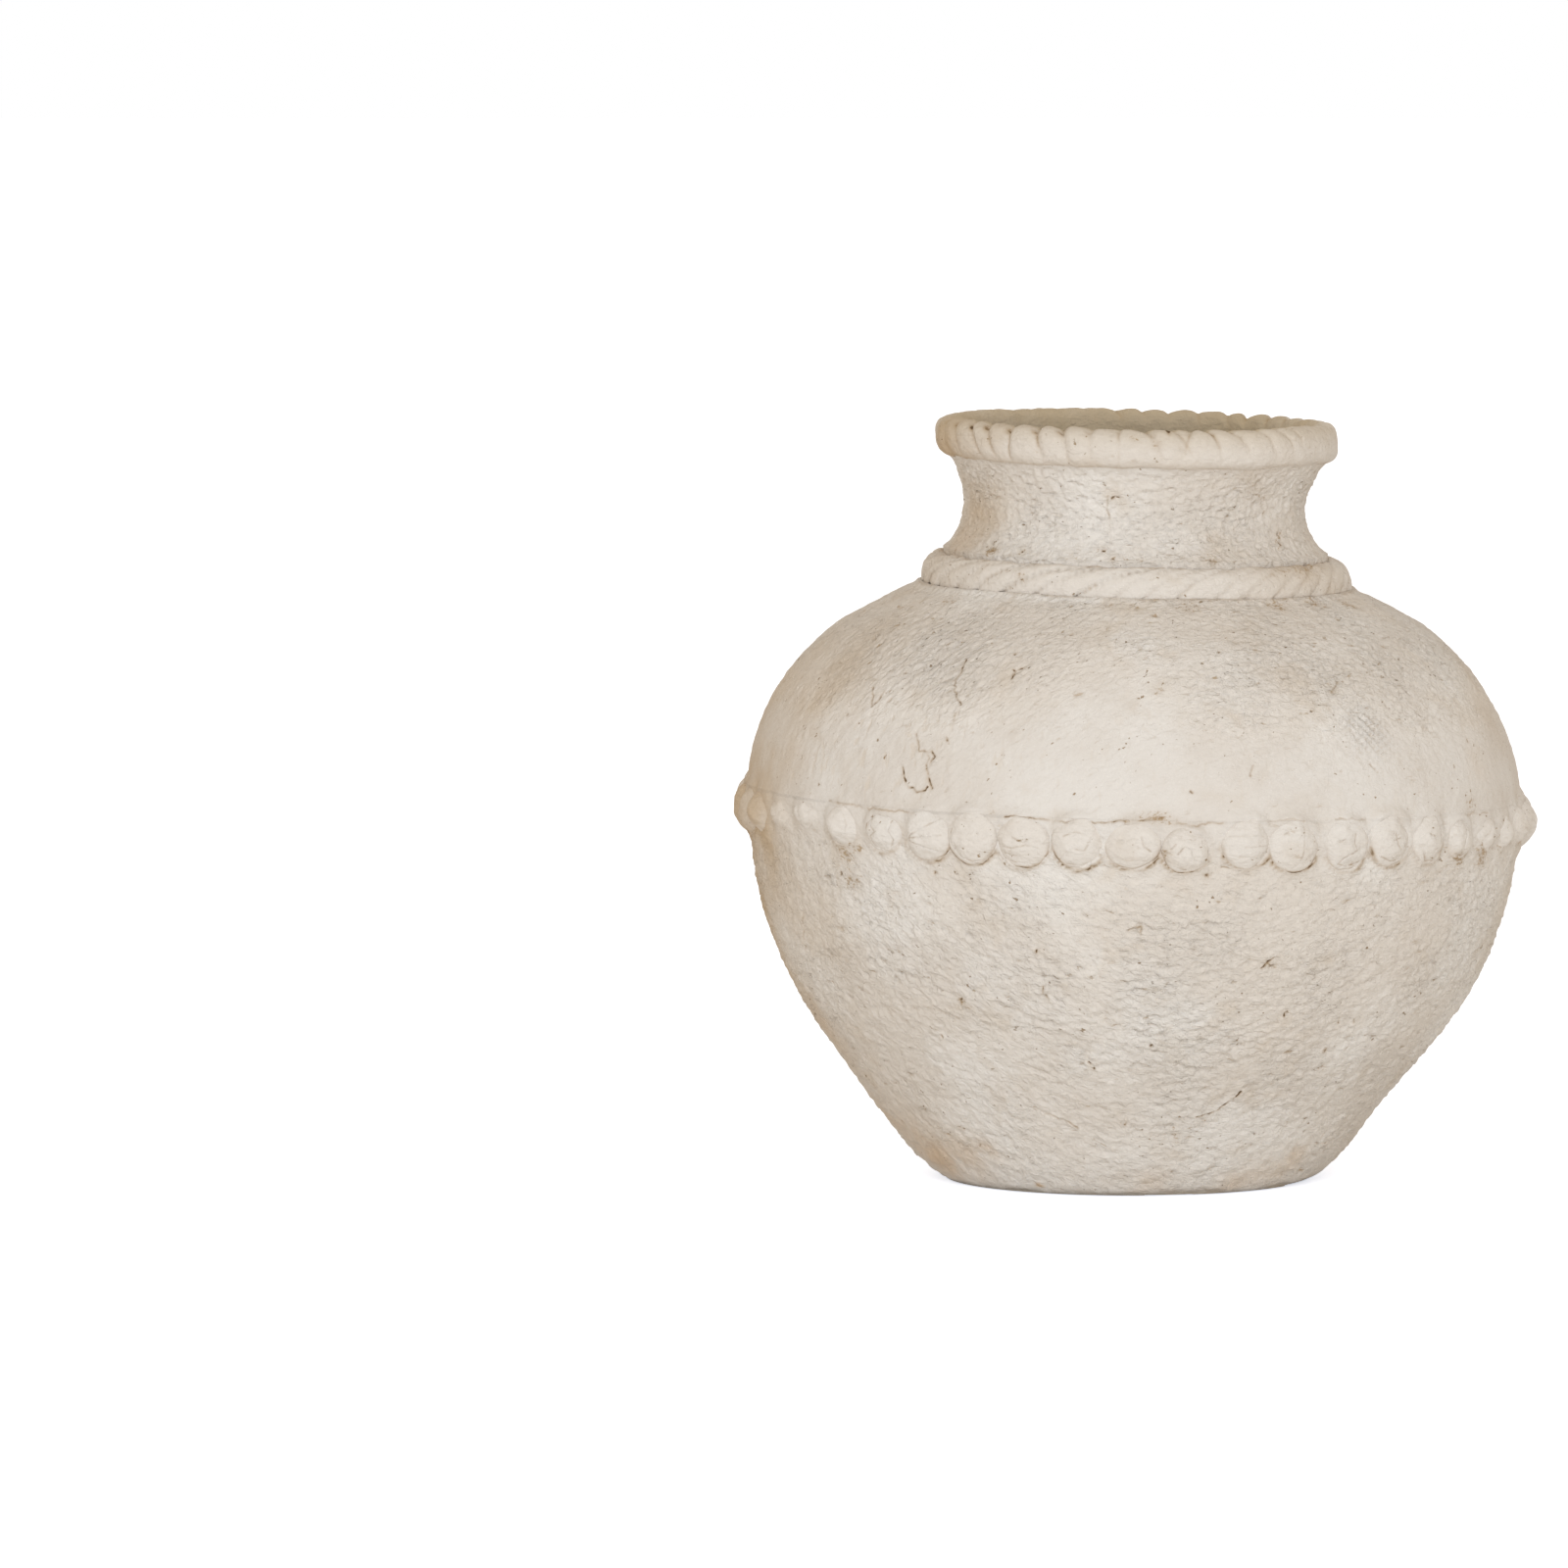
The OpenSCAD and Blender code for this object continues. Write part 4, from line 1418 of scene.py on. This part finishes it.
# Beads: balls of clay pressed on with a thumb, each with its own dents and creases
# A crease is a line of (across, up) in millimetres from the bead's middle
beadCreases = {
    41: [[(4, 5), (6, 1), (5, -3)], [(-4, -7), (2, -8.5)]],
    42: [[(-5, 6), (-5, 2), (-2, 0), (-5, -2), (-4, -6), (0, -8), (5, -7), (7, -3), (5, 1), (6, 5)]],
    43: [[(7, 8), (0, 4), (-7, 0)], [(8, 1), (0, 0), (-8, -1)], [(6, -6), (-1, -4), (-8, -2)]],
    44: [[(-9, 3), (-9.5, -1), (-8, -5), (-4, -9), (1, -10.5), (5, -10)], [(-7, -3), (-6, -6)],
         [(4, 2), (4.5, 1.5)]],
    45: [[(-9, -2), (-4, -2.5), (2, -1), (7, -2)], [(-8, -5), (-2, -6), (4, -5)],
         [(-4, 2), (1, 0), (5, 2.5)], [(-7, -8), (-2, -9), (3, -9)]],
    46: [[(-8, -7), (-2, -2), (3, -3), (6, 2)], [(-6, 3), (-1, 5), (4, 4)], [(-5, -9), (1, -9.5), (6, -8)]],
    1: [[(4, 4), (5, 0), (8, -2)], [(5, 1), (8, 2)], [(2, -6), (6, -6.5)], [(-7, 2), (-3, 3)]],
    2: [[(-4, -1), (-1, 2), (2, 1), (3, -3), (4, -4)], [(-7, 1), (-5, 3)], [(-5, -7), (0, -8)]],
    3: [[(-9, 3), (0, 3.5), (8, 3)], [(-9, -1), (0, -1.5), (9, -1)], [(-8, -5.5), (1, -6), (8, -5)]],
    4: [[(4, 8), (3.5, 1), (2, -6)], [(-6, 5), (-4, 6)]],
    5: [[(3, 5), (2, 1), (4, -2), (-3, -5), (-5, -8), (0, -9), (7, -7)], [(-6, 2), (-3, 3)]],
    6: [[(0, 3), (1, -2), (3, -4)], [(-2, 0), (3, 1)], [(-7, -7), (-1, -9), (4, -8.5)]],
    7: [[(-6, -4), (-2, -9), (4, -9), (7, -5)], [(-3, 3), (0, 2)]],
    8: [[(2, 6), (0, 1), (-1, -3)], [(-5, -6), (0, -7), (4, -6)]],
}
dressed = {
    "fine": 6,  # cuts of the ball: more for one with creases of its own
    "coarse": 5,
    "flatBack": -0.25,
    "middle": 4,  # a bead's middle stands this far out of the girdle
    "wobble": 0.15,
    "wobbleTurns": 0.9,
    "roll": 0.5,  # rolls away below
    "rollFrom": (0.1, -0.8),
    "face": (-0.1, 0.4),
    "lump": 1.3,
    "lumpLength": 11,
    "smallLump": 0.5,
    "smallLumpLength": 5,
    "dabs": 0.45,
    "dabShare": 0.6,
    "rough": 0.5,
    "lineStep": 0.4,
    "creaseDepth": 0.6,
    "creaseWidth": 0.3,
    "slopeDepth": 0.25,
    "slopeWidth": 1.5,
    "creaseDirt": 0.6,
    "dirtWidth": 0.34,
    "dirtLength": 4,
    "edge": (0.94, 0.06),
    "edgeLength": 13,
    "spotDirt": 0.8,
    "plain": (7, 6),  # reach of the single crease on the other beads
    "plainFaint": 0.5,
    "faint": {3: 0.4, 43: 0.9, 41: 0.5, 45: 0.8, 46: 0.8, 4: 0.7},
    "dirtSpot": {5: (2, -9.5, 3.2), 41: (6, -8, 2), 42: (-8, 2, 2.2), 2: (-9, -1, 2.5), 8: (-2, -8, 3)},
}


def creaseLines(number):
    draw = random.Random(number)
    across, tall = dressed["plain"]
    plain = [[(draw.uniform(-across, 0), draw.uniform(-tall, tall)),
              (draw.uniform(0, across), draw.uniform(-tall, tall))]]
    samples = []
    for line in beadCreases.get(number, plain):
        samples += pointsAlong([Vector((*spot, 0)) for spot in line], dressed["lineStep"])
    return treeOf(samples)


def makeBead(number, one):
    bm = bmesh.new()
    creased = number in beadCreases
    bmesh.ops.create_icosphere(bm, subdivisions=dressed["fine"] if creased else dressed["coarse"], radius=1)
    bmesh.ops.bisect_plane(bm, geom=bm.verts[:] + bm.edges[:] + bm.faces[:],
                           plane_co=(0, 0, dressed["flatBack"]), plane_no=(0, 0, 1), clear_inner=True)
    bmesh.ops.holes_fill(bm, edges=[edge for edge in bm.edges if edge.is_boundary], sides=0)
    layers = paintLayers(bm)
    power = 2 / bead["fullness"]
    tree = creaseLines(number)
    weight = dressed["faint"].get(number, 1 if creased else dressed["plainFaint"])
    spotAcross, spotAbove, spotSize = dressed["dirtSpot"].get(number, (0, 0, 0))
    tan = tanAt(onWall(one["angle"], one["height"]))
    edgeMiddle, edgeWidth = dressed["edge"]
    for vert in bm.verts:
        across, above, out = vert.co
        edge = math.hypot(across, above)
        spread = edge ** power / max(edge, 0.001)
        side = Vector((across, above, 0)).normalized() * dressed["wobbleTurns"]
        spread *= 1 + dressed["wobble"] * noise.noise(side + Vector((0, 0, one["seed"])))
        across *= spread * one["halfWidth"]
        above *= spread * one["halfHeight"]
        high = above / one["halfHeight"]
        drooped = 1 + dressed["roll"] * ease(*dressed["rollFrom"], high)
        raised = math.copysign(abs(out) ** (power * (1 + one["soft"]) * drooped), out)
        raised *= one["proud"] if out > 0 else bead["buried"]
        local = Vector((across + one["seed"], above, raised))
        face = ease(*dressed["face"], out)
        small = dressed["smallLump"] * lumps(local, dressed["smallLumpLength"], 2)
        raised += face * (across * one["lean"][0] + above * one["lean"][1])
        raised += face * dressed["lump"] * (lumps(local, dressed["lumpLength"]) + small)
        away = tree.find(Vector((across, above, 0)))[2]
        cut = bump(away, dressed["creaseWidth"]) + dressed["slopeDepth"] * bump(away, dressed["slopeWidth"])
        raised -= face * weight * dressed["creaseDepth"] * cut
        turn = math.degrees(across / (wall["girdleRadius"] + dressed["middle"]))
        place = onWall(one["angle"] + turn, one["height"] + above, raised)
        rolled, crease, depth = dabs(place, dressed["dabs"])
        vert.co = place + outward(place, 0) * rolled * dressed["dabShare"]
        stain = dressed["creaseDirt"] * weight * face * bump(away, dressed["dirtWidth"])
        stain *= patchy(local, dressed["dirtLength"], 7)
        # the lower edge of the bead is painted with shade and some dirt
        low = ease(*smear["shadeBelow"], high) * (1 - one["soft"])
        ragged = smear["leastDirt"] + smear["moreDirt"] * patchy(place, dressed["edgeLength"], 19)
        # creases under the dabs get painted shade
        vert[layers["hollow"]] = crease
        vert[layers["rough"]] = dressed["rough"]
        vert[layers["tanned"]] = tan
        vert[layers["stain"]] = stain + bump(edge - edgeMiddle, edgeWidth) * low * ragged
        if spotSize:
            spot = math.hypot(across - spotAcross, above - spotAbove)
            vert[layers["smudge"]] = dressed["spotDirt"] * bump(spot, spotSize)
    return finishPiece(bm, "bead%02d" % number, washedTrim, [one["node"]])


beadPieces = [makeBead(i + 1, one) for i, one in enumerate(beads)]
print("beads:", len(beadPieces), "with", sum(triangles(piece) for piece in beadPieces), "triangles")

# Stage: camera, floor, light
stage = {
    "eye": (-0.156, -6.234, 0.687),
    "pitch": 4.68,
    "lens": 319.8,
    "sensor": 36,
    "farthest": 60,
    "floorSize": 14,
    "floorDrop": 0.0003,
    "floorColour": (0.96, 0.96, 0.96, 1),
    "floorGlow": (0.95, 1.0, 1.1, 1),
    "floorGlowStrength": 0.62,
    "aim": (0, 0, 0.17),
    "keySpot": (-0.15, -4.2, 1.65),
    "keySize": 1.6,
    "keyTall": 1.6,
    "keyPower": 53,
    "keyColour": (0.815, 0.925, 1.06),
    "fillSpot": (0.2, -4.4, 0.15),
    "fillSize": 2.4,
    "fillTall": 0.5,
    "fillPower": 32.5,
    "fillColour": (0.89, 0.935, 1.0),
    "ambient": 0.68,
    "ambientColour": (1.0, 0.905, 0.79, 1),
}


def makeStage():
    camera = bpy.data.objects.new("camera", bpy.data.cameras.new("camera"))
    camera.data.sensor_width = stage["sensor"]
    camera.data.lens = stage["lens"]
    camera.data.clip_end = stage["farthest"]
    camera.location = stage["eye"]
    camera.rotation_euler = (math.radians(90 - stage["pitch"]), 0, 0)
    bpy.context.scene.collection.objects.link(camera)
    bpy.context.scene.camera = camera

    bm = bmesh.new()
    bmesh.ops.create_grid(bm, x_segments=2, y_segments=2, size=stage["floorSize"])
    mesh = bpy.data.meshes.new("floor")
    bm.to_mesh(mesh)
    bm.free()
    floor = bpy.data.objects.new("floor", mesh)
    floor.location.z = -stage["floorDrop"]
    bpy.context.scene.collection.objects.link(floor)
    mesh.materials.append(floorMaterial())

    for name in ("key", "fill"):
        lamp = bpy.data.objects.new(name + "Light", bpy.data.lights.new(name + "Light", "AREA"))
        lamp.data.energy = stage[name + "Power"]
        lamp.data.shape = "RECTANGLE"
        lamp.data.size = stage[name + "Size"]
        lamp.data.size_y = stage[name + "Tall"]
        lamp.data.color = stage[name + "Colour"]
        lamp.location = stage[name + "Spot"]
        lamp.rotation_euler = (Vector(stage["aim"]) - lamp.location).to_track_quat("-Z", "Y").to_euler()
        bpy.context.scene.collection.objects.link(lamp)


def seenDirectly(tree):  # 1 for the camera and for what shines or is clear, 0 for the light on the vase
    rays = addNode(tree, "ShaderNodeLightPath").outputs
    mirrored = mathOf(tree, "MAXIMUM", rays["Is Glossy Ray"], rays["Is Transmission Ray"])
    return mathOf(tree, "MAXIMUM", rays["Is Camera Ray"], mirrored)


def floorMaterial():
    material = bpy.data.materials.new("paleFloor")
    material.use_nodes = True
    tree = material.node_tree
    shader = tree.nodes["Principled BSDF"]
    shader.inputs["Base Color"].default_value = stage["floorColour"]
    shader.inputs["Roughness"].default_value = 1
    shader.inputs["Specular IOR Level"].default_value = 0
    strength = mathOf(tree, "MULTIPLY", seenDirectly(tree), stage["floorGlowStrength"])
    glow = addNode(tree, "ShaderNodeEmission", {"Color": stage["floorGlow"], "Strength": strength})
    both = addNode(tree, "ShaderNodeAddShader")
    tree.links.new(shader.outputs[0], both.inputs[0])
    tree.links.new(glow.outputs[0], both.inputs[1])
    tree.links.new(both.outputs[0], tree.nodes["Material Output"].inputs["Surface"])
    return material


def makeWorld():
    world = bpy.data.worlds.new("studio")
    world.use_nodes = True
    bpy.context.scene.world = world
    tree = world.node_tree
    seen = seenDirectly(tree)
    back = tree.nodes["Background"]
    tree.links.new(rangeOf(tree, seen, 0, 1, stage["ambient"], 1), back.inputs["Strength"])
    tree.links.new(mixColour(tree, seen, stage["ambientColour"], (1, 1, 1, 1)), back.inputs["Color"])


makeStage()
makeWorld()
bpy.context.scene.view_settings.view_transform = "Standard"
print("stage ready")
